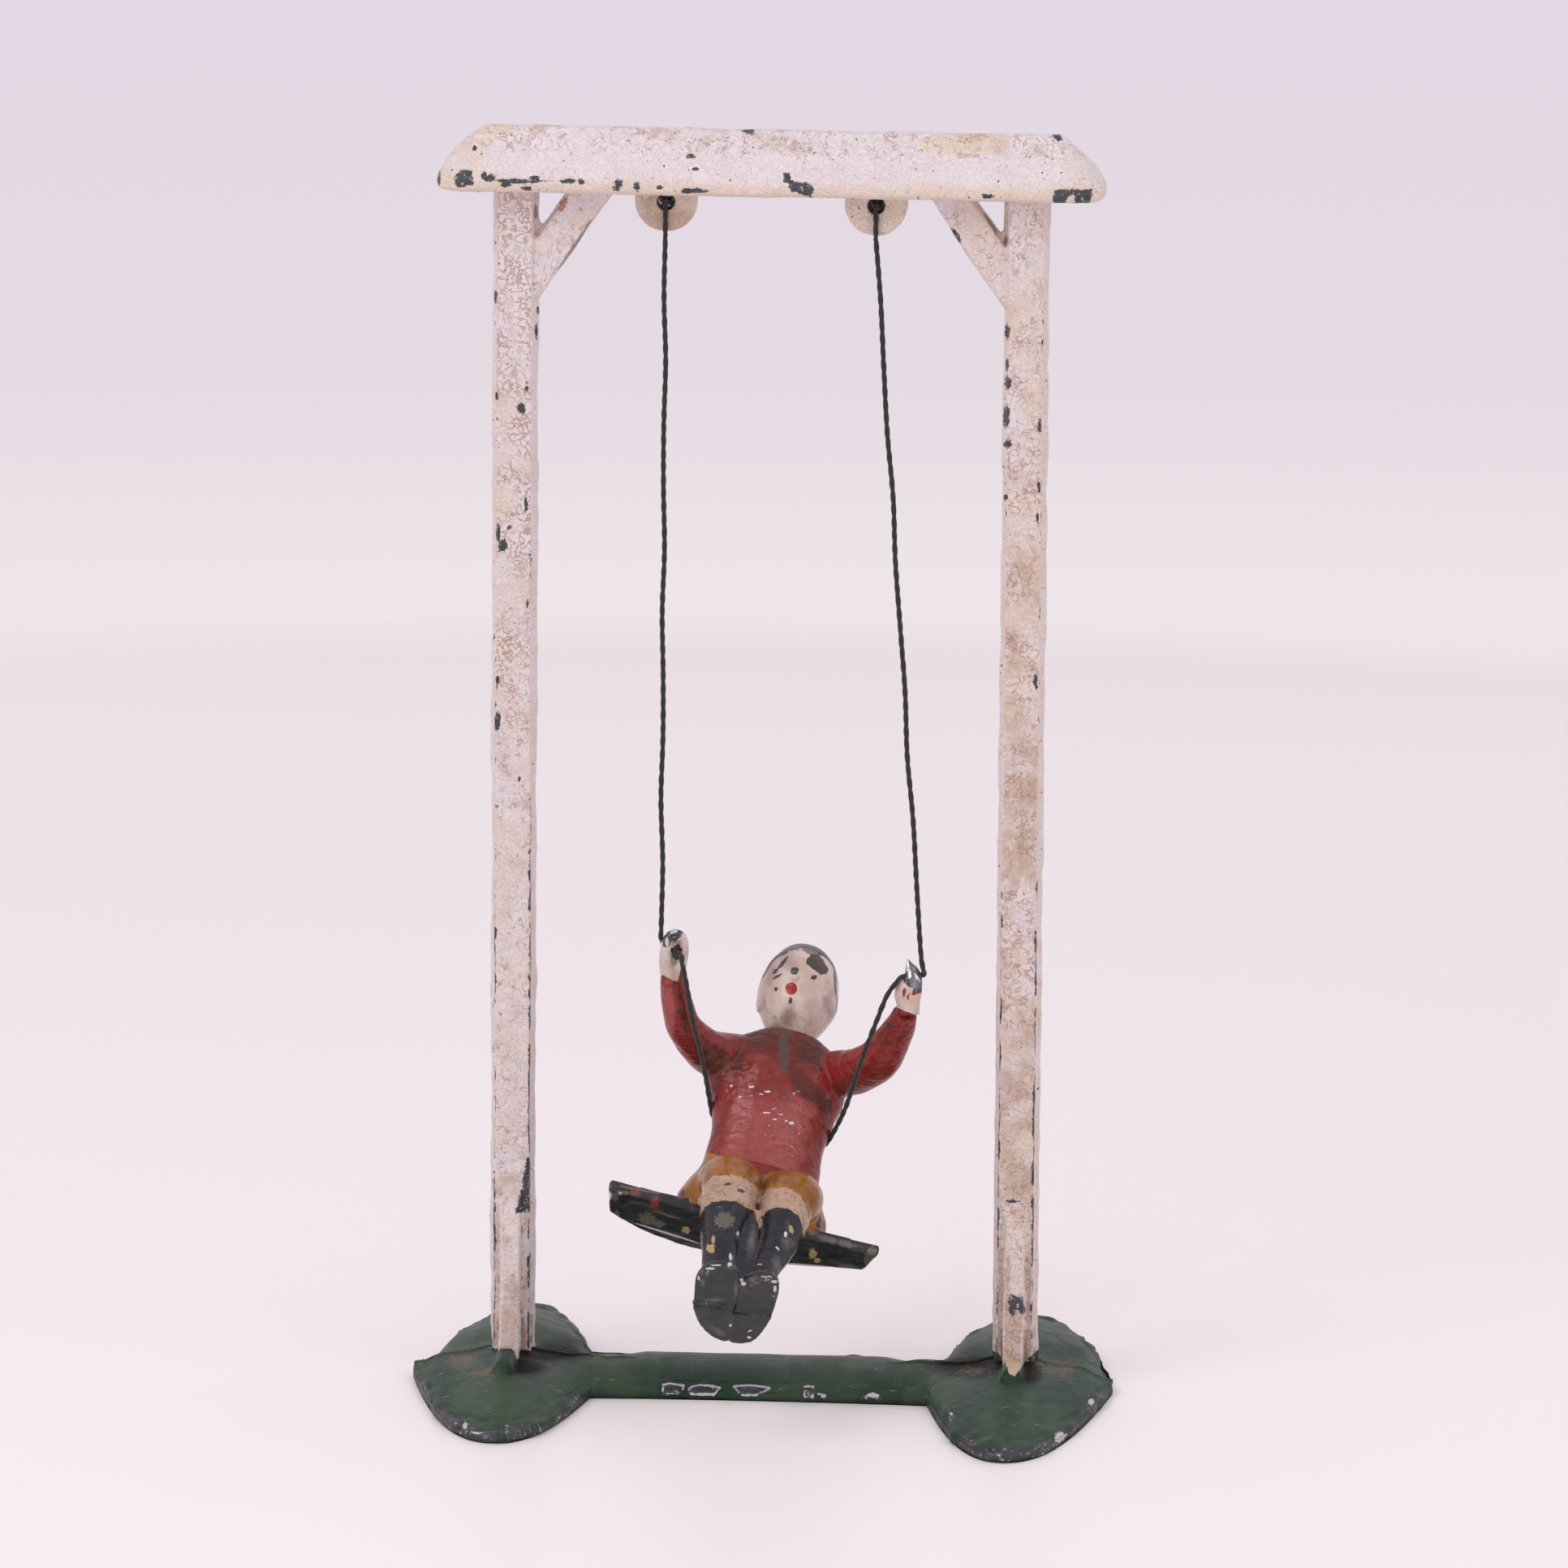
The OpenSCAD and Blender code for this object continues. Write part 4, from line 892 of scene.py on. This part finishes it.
def leg(side):
    """Thigh, knee and calf in one; the paint alone divides shorts, knee and stocking."""
    (x, r), a, slim = KNEES[side], ANKLES[side], CALF_SLIM[side]
    inward = 1 - slim
    return limb([[side * 2.8, 1, 2.2, 2.75, 2.3], [side * 2.8, -2.6, 2.2, 2.75, 2.35],
                 [side * 2.7, -5.0, 1.5, 2.65, 2.4], [x, -6.3, -0.2, r + 0.25, r + 0.15],
                 [x, -6.7, -2.1, r + 0.05, r],
                 [0.85 * x + 0.15 * a[0] - 0.7 * inward, -7.3, -4.6, 0.86 * r * (1 + slim) / 2, 0.9 * r],
                 [0.4 * x + 0.6 * a[0] - 2 * inward, -8.5, -7.4, 0.72 * r * slim, 0.7 * r],
                 [a[0] - 1.2 * inward, a[1] + 0.2, a[2], 0.62 * r * slim, 0.6 * r]], [1, 0, 0])


def boot(side):
    """Thick sole with a heel, and the upper that narrows to the ankle."""
    ring = np.array(SOLES[side])
    ring = smooth_path(np.vstack([ring, ring[:1]]), 5)[:-1]
    middle = ring.mean(axis=0)
    heel = ring.copy()
    heel[:, 1] = np.maximum(heel[:, 1], -1.2 - 0.25 * heel[:, 0])
    turned = np.arctan2(*(ring - middle).T[::-1])
    round_ring = np.stack([np.cos(turned), np.sin(turned)], axis=-1)

    def level(z, share, plan=ring):
        flat = middle + (plan - middle) * share
        return np.column_stack([flat, np.full(len(ring), z)]) @ spin("X", -19.5).T + ANKLES[side]

    def ankle_level(z, t, x, y, a, b):
        """A ring on the way from the sole's outline to an oval round the ankle."""
        return level(z, 1, (1 - t) * (middle + (ring - middle) * 0.97) + t * ((x, y) + round_ring * (a, b)))

    upper = [level(-2.6, 0.82), level(-2.0, 0.86), ankle_level(-1.4, 0.45, -0.1, -1.0, 1.4, 3.0),
             ankle_level(-0.7, 0.85, 0, -0.2, 1.35, 1.9), ankle_level(0.3, 1, 0, 0, 1.3, 1.4)]
    sole = [level(-3.05, 0.96), level(-3.0, 1), level(-2.5, 1), level(-2.35, 0.96)]
    block = [level(-3.5, 0.97, heel), level(-3.45, 1, heel), level(-2.4, 1, heel)]
    return [loft(rings) for rings in (upper, sole, block)]


def left_hand():
    """A hand curled round its hole."""
    out = unit(TO_EYE + BORES[-1])
    up = unit(TO_TOP - (TO_TOP @ out) * out)
    hole = HOLES[-1] + 0.1 * TO_RIGHT
    curl = limb([[*(hole + a * np.cross(up, out) + b * up), r, t] for a, b, t, r in FINGERS], out)
    palm = limb([[*(hole - 0.5 * out + b * up), 0.22, t] for b, t in PALM], out)
    return [curl, palm]


def right_hand():
    """A fist whose bare fingertip stands up."""
    return [limb([[*(HOLES[1] + a * TO_RIGHT + b * TO_TOP + c * TO_EYE), wide, deep]
                  for a, b, c, wide, deep in FIST], TO_RIGHT)]


def figure_forms():
    """Named closed forms, in the figure's own frame."""
    torso = stack([[0, 0.4, 4.0, 5.35, 3.5], [0, 0.3, 6.2, 5.1, 3.3], [0, 0.3, 8.5, 5.0, 3.2],
                   [-0.15, 0.3, 11, 5.35, 3.2], [-0.3, 0.3, 13.4, 6.1, 3.2], [0, 0.4, 16, 5.6, 3.0],
                   [0.1, 0.5, 17.2, 4.9, 2.8], [0.15, 0.6, 18.0, 4.1, 2.7], [0.1, 0.6, 18.6, 3.1, 2.5]])
    skull = stack([[0.02, y, CHIN_Z + z * SKULL_H, 0.975 * a * SKULL_R, b * SKULL_R]
                   for y, z, a, b in SKULL])
    hips = stack([[0, 1.0, 0, 6.4, 3.7], [0, 1.0, 0.9, 6.6, 3.9], [0, 0.9, 2, 6.6, 4.0],
                  [0, 0.7, 3.2, 6.1, 3.8], [0, 0.5, 4.4, 5.3, 3.5]])
    lap = stack([[-0.3, -1.5, -0.4, 6.3, 3.2], [-0.3, -1.6, 0.8, 6.4, 3.4], [-0.2, -1.5, 2.4, 6.0, 3.5],
                 [0, -1.0, 3.8, 5.5, 3.0], [0, -0.6, 4.8, 5.2, 2.6]])
    web = limb([[-0.25, -6.3, -1.6, 0.9, 0.9], [-0.25, -6.9, -3.4, 1.1, 1.3], [-0.3, -7.7, -5.6, 1.2, 1.3],
                [-0.45, -8.7, -8.4, 1.2, 1.1], [-0.55, -9.4, -10.6, 1.1, 1.0]], [1, 0, 0])
    chest = limb([[-3.4, -1.0, 13.6, 1.8, 1.2], [-2.0, -1.4, 13.6, 2.4, 1.6], [0, -1.3, 13.5, 2.4, 1.6],
                  [2.4, -1.6, 13.9, 2.3, 1.7], [3.8, -1.1, 14.3, 1.6, 1.2]], [0, 0, 1])
    ears = [limb([[side * 2.9, 1.0, z - 1.0, 0.4, 0.4], [side * 3.1, 0.9, z, 0.45, 0.55],
                  [side * 3.05, 0.9, z + 1.0, 0.4, 0.4]], [1, 0, 0]) for side, z in ((-1, 21.8), (1, 22.6))]
    nose = limb([[-0.95, -2.1, 23.9, 0.4, 0.3], [-0.95, -2.75, 23.2, 0.4, 0.35],
                 [-0.9, -2.3, 22.8, 0.3, 0.3]], [1, 0, 0])
    forms = [("seat", prism(seat_outline(0.45), -0.45, 0)), ("seat", prism(seat_outline(-0.5), -0.9, -0.4)),
             ("shorts", hips), ("shorts", lap), ("left_leg", web), ("jacket", torso), ("jacket", chest)]
    forms += [("head", form) for form in (skull, *ears, nose)]
    forms += [(SIDES[side] + "arm", limb(stops, [0, 0, 1])) for side, stops in ARMS.items()]
    for side, hand in ((-1, left_hand()), (1, right_hand())):
        forms += [(SIDES[side] + "leg", leg(side))] + [(SIDES[side] + "hand", part) for part in hand]
        forms += [(SIDES[side] + "boot", part) for part in boot(side)]
    return forms


# Edges of the figure's paints, in the picture's pixels
RED_EDGE = [(780, 1200), (780, 1420), (871, 1420), (900, 1426), (920, 1436), (932, 1445), (940, 1448),
            (952, 1443), (980, 1441), (1000, 1448), (1010, 1456), (1160, 1456), (1160, 1200)]
KNEE_EDGES = [
    [(856, 1501), (860, 1480), (868, 1460), (878, 1449), (900, 1447), (920, 1452), (932, 1462), (938, 1474),
     (938, 1700), (840, 1700), (840, 1520)],
    [(938, 1700), (939, 1474), (943, 1466), (952, 1463), (972, 1464), (986, 1472), (994, 1486), (996, 1504),
     (990, 1522), (1010, 1540), (1010, 1700)]]
STOCKINGS = [(840, 1530), (862, 1500), (868, 1488), (878, 1481), (890, 1479), (908, 1481), (920, 1488),
             (930, 1492), (935, 1513), (938, 1514), (940, 1500), (944, 1492), (956, 1487), (972, 1489),
             (984, 1498), (989, 1512), (989, 1524), (1000, 1550), (1000, 1700), (840, 1700)]
BARE_HAND = [(1117, 1179), (1136, 1200), (1141, 1216), (1130, 1222), (1116, 1213), (1111, 1203)]
HAND_EDGES = [[(780, 1100), (870, 1100), (870, 1184), (846, 1188), (838, 1196), (835, 1210), (817, 1202),
               (780, 1199)],
              [(1080, 1150), (1170, 1150), (1170, 1258), (1131, 1252), (1109, 1243), (1096, 1235),
               (1080, 1232)]]
# Marks on the figure's paints, as marks() takes them; the plain ones are used as they are
FIGURE_MARKS = {
    # Painted shade under the arms, at the armpits, between the legs and below the chin.
    "shade_beneath": [(880, 1312, 26, 24), (1045, 1338, 30, 20, 30), (938, 1456, 8, 12)],
    "shade beneath the chin": [(968, 1262, 36, 26), (1022, 1240, 14, 34, -12), (941, 1240, 10, 22)],
    # Painted sheen on the black paint.
    "painted_sheen": [(970, 1530, 16, 16), (957, 1558, 11, 22), (926, 1530, 10, 38, 8), (903, 1552, 6, 14),
        (909, 1522, 5, 14), (907, 1590, 5, 24), (880, 1602, 28, 5), (884, 1640, 20, 8, 25),
        (866, 1580, 5, 12)],
    "deep shadow": [(971, 1254, 13, 30, 12), (958, 1268, 26, 10)],
    "soft shadow": [(950, 1198, 22, 48, 14), (968, 1183, 30, 22)],
    # Paler red: painted highlights along the left arm's edges, and a worn patch on the belly.
    "pale": [(824, 1245, 10, 50, -3), (842, 1303, 9, 30, -42), (992, 1366, 18, 16)],
    # Painted shade: the right arm's shadow across the chest, the armpits and a groove along the left arm.
    "brown": [(996, 1341, 17, 42, -47), (1016, 1362, 12, 16, -40), (876, 1303, 26, 22),
        (908, 1310, 10, 24, 10), (934, 1277, 24, 10), (1014, 1288, 18, 9, 25), (842, 1250, 5, 42, -11)],
    "chip": [(1010, 1506, 3, 7), (899, 1561, 10, 3), (925, 1583, 5, 4), (944, 1577, 12, 4),
        (868, 1568, 7, 5), (855, 1585, 3, 10), (872, 1606, 18, 1.5, 5), (955, 1595, 3, 12),
        (870, 1606, 16, 2), (960, 1640, 3, 9), (1128, 1252, 3, 2), (1095, 1262, 8, 2, 10),
        (836, 1247, 2, 3), (896, 1459, 6, 1.5), (912, 1467, 5, 2, 20), [(815, 1154), (824, 1148),
        (838, 1143), (843, 1149), (836, 1156), (829, 1161), (824, 1167), (817, 1166)]],
    # Painted glints and highlights on the paint and on bare metal.
    "bright": [(899, 1558, 3, 3), (916, 1582, 3, 3), (954, 1579, 4, 2), (883, 1559, 7, 1),
        (944, 1573, 8, 1), (1118, 1189, 2, 8), (1121, 1201, 2, 6), (1130, 1204, 1.5, 8, -35),
        (822, 1161, 2.5, 6), (830, 1148, 6, 2, -20), (926, 1339, 4, 1.5), (946, 1345, 5, 1.3),
        (938, 1348, 3, 1), (944, 1371, 8, 1.1), (975, 1384, 4, 2), (955, 1379, 3, 1.2), (969, 1381, 3, 1),
        (912, 1352, 3, 1), (901, 1338, 2, 1.5), (968, 1521, 2, 4), (958, 1538, 1.2, 4, -45),
        (900, 1549, 2, 5), (936, 1558, 3, 1), (909, 1520, 1.5, 3), (875, 1563, 7, 1.5),
        (861, 1575, 1.5, 4), (914, 1577, 3, 2), (955, 1588, 2, 5), (923, 1648, 3, 1.5),
        (924, 1640, 3, 1, -20), (900, 1633, 2, 2), (751, 1473, 3, 5), (764, 1470, 2, 2)],
    "seat edge": [(822, 1519.5, 46, 1.2, 17.5), (1013, 1560.5, 50, 1.2, 5.4)]}
PLAIN_MARKS = {
    "dust": [(893, 1504, 12, 10), (931, 1578, 8, 5), (798, 1502, 12, 7, 12), (812, 1508, 8, 4),
        (1020, 1527, 13, 4, 12), (1042, 1533, 12, 4, 14), (1072, 1549, 7, 14, 15), (1043, 1560, 12, 3, 8),
        (766, 1470, 9, 3), (832, 1523, 8, 3, 15), (760, 1498, 4, 7), (1002, 1519, 6, 3),
        (757, 1474, 5, 6), (790, 1466, 32, 2, 10), (1135, 1245, 2, 8)],
    "ruddy": [(1031, 1328, 22, 32), (1062, 1300, 34, 16, -20)],
    "steel": [(1122, 1194, 7, 24, -15), (1130, 1211, 10, 8)],
    "ochre_chip": [(845, 1516, 5, 4), (1001, 1545, 5, 6), (875, 1538, 5, 6), (879, 1526, 2, 6),
        (975, 1515, 3, 6), (1007, 1553, 4, 3)],
    "red_chip": [(807, 1482, 5, 8), (782, 1470, 8, 3), (838, 1475, 8, 2), (1130, 1222, 8, 3, -20),
        (1114, 1222, 2, 8, 10), (1119, 1228, 1.5, 5)],
    "dark": [(979, 1196, 5, 5), (1003, 1204, 4, 3), (964, 1187, 11, 2.2, -52), (955, 1197, 4, 2.5, -45),
        (958, 1203, 7, 1.6, -28), (974, 1233, 2.5, 5), (956, 1219, 2.5, 3), (838, 1466, 5, 9),
        (1029, 1212, 1.5, 20, -4), (1031, 1240, 1.5, 12, 6), (933, 1215, 2, 14, 8),
        (964, 1173, 9, 4, -30), (982, 1163, 18, 3, -5), (948, 1176, 3, 12, 40), (1009, 1172, 3, 9, -40),
        # The first outline below paints the left hand's hole dark, as painted shade inside it.
        (1010, 1508, 4, 6), [(829, 1167), (836, 1163), (841, 1170), (839, 1181), (832, 1184),
        (827, 1177)], [(993, 1182), (999, 1176), (1008, 1176), (1015, 1183), (1021, 1194), (1018, 1201),
        (1010, 1200), (1001, 1194), (994, 1188)]],
    "grey": [(966, 1296, 7, 30), (998, 1170, 11, 6, 20), (974, 1166, 18, 6, -10)],
    "mouth": [(975, 1218, 8, 8)]}


def turned_to_camera(normals):
    return ramp(-(normals @ FORWARD), -0.1, 0.3)


def paint_figure(skin, local, normals, on):
    """Fields of the paints; their edges also divide legs, shorts and jacket."""
    v, tags = skin.verts, skin.tags
    x, y, z = local.T
    front = turned_to_camera(normals)

    def region(outlines, behind):
        """Field of a paint, from the picture on what faces the camera and by a rule behind."""
        seen = np.clip(highest_field(v, outlines), -1, 1)
        return front * seen + (1 - front) * np.clip(behind, -1, 1)

    lower = on["left_leg"] | on["right_leg"] | on["shorts"]
    body = on["jacket"] | lower
    limbs = on["left_arm"] | on["right_arm"] | on["left_hand"] | on["right_hand"]
    bare_leg = region(KNEE_EDGES, np.minimum(-5.2 - y, 0.6 - z))
    stocking = region([STOCKINGS], np.minimum(-5.2 - y, -3.0 - z))
    hem = np.minimum(region([RED_EDGE], z - 4.4), np.minimum(z - 2.6, y + 4.6))
    hands = highest_field(v, HAND_EDGES)
    flesh = np.clip(0.5 + np.minimum(bare_leg, -stocking), 0, 1)
    fields = {"red": np.where(body, np.clip(0.5 + hem, 0, 1), limbs * np.clip(0.5 - hands, 0, 1)),
              "ochre": np.where(body, np.clip(0.5 - bare_leg, 0, 1), 0),
              "flesh": np.where(lower, flesh, 1.0 * ((on["head"] & ~on["hair"]) | limbs))}
    for key, field in fields.items():
        skin.values[key] = skin.spread(field)
    below = lower & (bare_leg >= 0)
    tags[below & (x < -0.2)] = FIGURE.index("left_leg")
    tags[below & (x >= -0.2)] = FIGURE.index("right_leg")
    above = body & (bare_leg < 0)
    tags[above & (hem > 0)] = FIGURE.index("jacket")
    tags[above & (hem <= 0)] = FIGURE.index("shorts")


def mark_figure(skin, local, normals, on, bulge):
    """Dirt, wear and marks on the paints, with painted shade, sheen, highlights and glints."""
    v, values = skin.verts, skin.values
    x, _, z = local.T
    front = turned_to_camera(normals)
    boots = on["left_boot"] | on["right_boot"]
    arms = on["left_arm"] | on["right_arm"]
    found = {key: marks(v, normals, table) for key, table in FIGURE_MARKS.items()}
    for key, table in PLAIN_MARKS.items():
        values[key] = marks(v, normals, table)
    # Painted shade: beneath the arms, below the chin, and in hollows and creases away from the boots.
    shade_beneath = np.maximum(found["shade_beneath"], 0.95 * found["shade beneath the chin"])
    sunk = -np.sum((local - skin.spread(local, 30)) * unit(normals @ TURN), axis=1)
    hollow = np.clip(sunk * 1.6, 0, 1)
    shade_in_hollows = (np.clip(-bulge * 12, 0, 0.8) + 0.7 * hollow) * ~boots
    values["dirt_and_shade"] = shade_in_hollows + 0.9 * np.clip(shade_beneath + 0.2, 0, 1)
    values["crazed"] = np.where(on["left_leg"] | on["right_leg"] | on["shorts"], 0.4, -1.0)
    values["sole"] = skin.spread(np.where(boots, 1.0, 0.7 * on["seat"]))
    # Painted sheen on the black paint.
    values["painted_sheen"] = np.clip(found["painted_sheen"], 0, 1) * 1.3 - 0.3
    values["shadow"] = np.maximum(found["deep shadow"], 0.75 * found["soft shadow"])
    # The belly is paler where it faces the camera: partly wear, partly painted highlight.
    belly = ramp(-z, -14, -9) * ramp(-np.abs(x + 0.4), -4.4, -2.6) * front
    values["pale"] = np.where(on["jacket"], belly, 0) - 0.2 + 2.2 * np.clip(found["pale"], 0, 1)
    # Brown red: painted shade in hollows, at the armpits and under the right arm, and darker towards the
    # collar.
    values["brown"] = on["jacket"] * ramp(z, 13.5, 16.5) + 1.2 * hollow - 0.4
    values["brown"] += 2.4 * np.clip(found["brown"], 0, 0.5)
    # Where the chest's and arms' dents carry painted glints.
    wrinkled = np.where(on["jacket"], ramp(-np.abs(z - 9), -5, -2) * ramp(-np.abs(x), -4, -2.5), 0.1)
    values["glinting_dents"] = wrinkled * (on["jacket"] | arms) * front
    bare = np.maximum(found["chip"], np.where(on["right_hand"], 3 * outline_field(v, BARE_HAND), -1))
    worn = np.where(on["seat"] | boots, np.clip(bulge * 22, 0, 1.0), np.clip(bulge * 5, 0, 0.4))
    values["chip"] = np.maximum(bare, worn - 1.05)
    # Bright marks: painted glints and highlights, and on the seat its worn bright edge.
    edge = np.maximum(found["bright"], 1.5 * found["seat edge"])
    values["bright"] = np.where(on["seat"], edge, found["bright"])


def add_figure(materials):
    forms = figure_forms()
    skin = fuse([form for _, form in forms], 0.16, 3)
    skin.tags = np.array([FIGURE.index(name) for name, _ in forms])[skin.tags]
    on = {name: skin.tags == i for i, name in enumerate(FIGURE)}
    bulge, local = skin.bulge(), skin.verts
    # The hair lies behind a slanting plane through the head
    lean = math.radians(32)
    behind = (local[:, 1] - 0.9) * math.cos(lean) + (local[:, 2] - 23.1) * math.sin(lean)
    on["hair"] = on["head"] & (behind > 0) & (local[:, 2] > 19.9)
    skin.tags[on["hair"]] = FIGURE.index("hair")
    skin.verts = placed(local)
    normals = skin.normals()
    skin.push(0.05 * grain(local, 1.1, 21) + 0.05 * grain(local, 2.6, 22))
    paint_figure(skin, local, normals, on)
    mark_figure(skin, local, normals, on, bulge)
    names = {form: (form + "_cast", form) for form in FIGURE} | {"seat": ("seat", "seat_board")}
    split(skin, [(names[form][0], [i], materials[slot], slot, "figure", [names[form][1]])
                 for i, (form, slot) in enumerate(FIGURE_SLOTS.items())])


# Threads
THREAD_R, THREAD_Y = 0.24, -1.34
PLY_PITCH, PLY_OFF, PLY_R = 2.3, 0.05, 0.185
PIVOT_Z = 102.05
HITCH_Z = HOLE_Z - 0.68 + THREAD_R + 0.03
KNOT_R, WAIST_Z = 0.72, 10.6
# How far beside a hand its thread comes down, and how far beside it turns in to the hole
THREAD_END = {-1: (-1.15, 0, 2.4), 1: (0.75, 0, 2.4)}
TURNS_IN = {-1: (-1.15, 0, 1.1), 1: (0.95, 0, 0.8)}
# The tails' way from the hands down to the waist
TAILS = {-1: [[-11.3, -10.9, 18], [-10.4, -9.6, 16.6], [-9.1, -7.4, 14.5], [-7.8, -5, 13.2],
              [-6.6, -2.4, 11.9]],
         1: [[7, -13.5, 19.8], [6.5, -12.9, 18.7], [6.2, -11.4, 16.8], [5.9, -9, 14.6], [5.8, -5.6, 12.8],
             [5.7, -2.8, 11.6]]}


def twisted(route, seed):
    """Two plies twisted together along a route."""
    rows = smooth_path(route, 6)
    along = np.concatenate([[0], np.cumsum(np.linalg.norm(np.diff(rows, axis=0), axis=1))])
    steps = np.arange(0, along[-1], 0.12)
    path = np.stack([np.interp(steps, along, rows[:, k]) for k in range(3)], axis=-1)
    ahead = unit(np.gradient(path, axis=0))
    side = unit(np.cross(ahead[0], [0.31, 0.23, 0.92]))
    sides = []
    for t in ahead:
        side = unit(side - t * np.dot(side, t))
        sides.append((side, np.cross(t, side)))
    n = 10
    verts, faces = [], []
    for ply in (0, 1):
        base = len(verts)
        for i, (c, (u, w)) in enumerate(zip(path, sides)):
            turn = 2 * np.pi * steps[i] / PLY_PITCH + ply * np.pi
            centre = c + PLY_OFF * (math.cos(turn) * u + math.sin(turn) * w)
            r = PLY_R * (1 + 0.08 * math.sin(steps[i] * 3.1 + ply * 2 + seed))
            for j in range(n):
                b = 2 * np.pi * j / n
                verts.append(centre + r * (math.cos(b) * u + math.sin(b) * w))
                if i:
                    k, m = base + (i - 1) * n, (j + 1) % n
                    faces.append((k + j, k + m, k + n + m, k + n + j))
        faces.append(tuple(base + j for j in range(n))[::-1])
        faces.append(tuple(base + (len(path) - 1) * n + j for j in range(n)))
    return np.array(verts), faces


def knot_form(centre):
    """Small overhand knot: a trefoil of thread drawn tight."""
    t = np.linspace(0, 2 * np.pi, 60)[:-1]
    k = KNOT_R / 3.2
    path = np.stack([k * (np.sin(t) + 2 * np.sin(2 * t)), k * (np.cos(t) - 2 * np.cos(2 * t)),
                     -k * 1.3 * np.sin(3 * t)], axis=-1)
    path = np.vstack([path, path[:3]]) + centre
    return limb([[*q, 0.26, 0.26] for q in path[::2]], [0.31, 0.23, 0.92], 12, 3)


def add_hitch(side, material):
    x = side * LUG_X
    verts, faces = twisted([[x, 1.8, HITCH_Z], [x, 0, HITCH_Z], [x, -0.95, HITCH_Z],
                            [x, THREAD_Y + 0.1, HITCH_Z - 0.1], [x, THREAD_Y, HITCH_Z - 0.4],
                            [x, THREAD_Y, 103], [x, THREAD_Y, PIVOT_Z - 0.1]], side)
    knot, knot_faces = knot_form((x, 1.95, HITCH_Z))
    faces += [tuple(i + len(verts) for i in f) for f in knot_faces]
    add_piece(SIDES[side] + "hitch_thread", np.vstack([verts, knot]), faces, material, "thread", "frame",
              [SIDES[side] + "hitch"])


def add_swinging_thread(side, material):
    hole, bore = HOLES[side], BORES[side]
    top, end = np.array([side * LUG_X, THREAD_Y, PIVOT_Z + 0.1]), placed(hole) + THREAD_END[side]
    run = [top + (end - top) * t for t in np.linspace(0, 1, 12)]
    for i, q in enumerate(run[1:-1]):
        q[:2] += (0.10 * math.sin(i * 2.3 + side), 0.08 * math.sin(i * 1.7 + side))
    outer = 0.75 + THREAD_R
    link = [placed(hole) + TURNS_IN[side], placed(hole - (outer + 0.2) * bore),
            placed(hole - 0.7 * outer * bore), placed(hole)]
    obj = add_piece(SIDES[side] + "thread_twist", *twisted(run + link, side + 3), material, "thread", None,
                    [SIDES[side] + "thread"])
    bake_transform(obj)


def add_tail(side, material):
    hole = HOLES[side]
    waist = [[side * 5.3 * math.cos(a), 0.3 + 3.45 * math.sin(a), WAIST_Z - 0.3 * math.cos(a)]
             for a in np.radians(np.arange(12, 78, 16))]
    route = [hole, hole + 0.99 * BORES[side]] + TAILS[side] + waist + [[side * 0.4, 4.35, WAIST_Z]]
    add_piece(SIDES[side] + "tail_twist", *twisted(placed(route), side + 5), material, "thread", "figure",
              [SIDES[side] + "tail"])


def add_threads(material):
    for side in SIDES:
        add_hitch(side, material)
        add_swinging_thread(side, material)
        add_tail(side, material)
    verts, faces = knot_form((0, 4.35, WAIST_Z))
    add_piece("back_knot_tied", placed(verts), faces, material, "thread", "figure", ["back_knot"])


bpy.context.scene.view_settings.view_transform = "Standard"
add_camera()
add_floor()
add_world()
add_lamps()
add_threads(thread_material())
add_base(green_material())
add_upper_frame(cream_material())
add_figure({name: figure_material(name) for name in sorted(set(FIGURE_SLOTS.values()))})
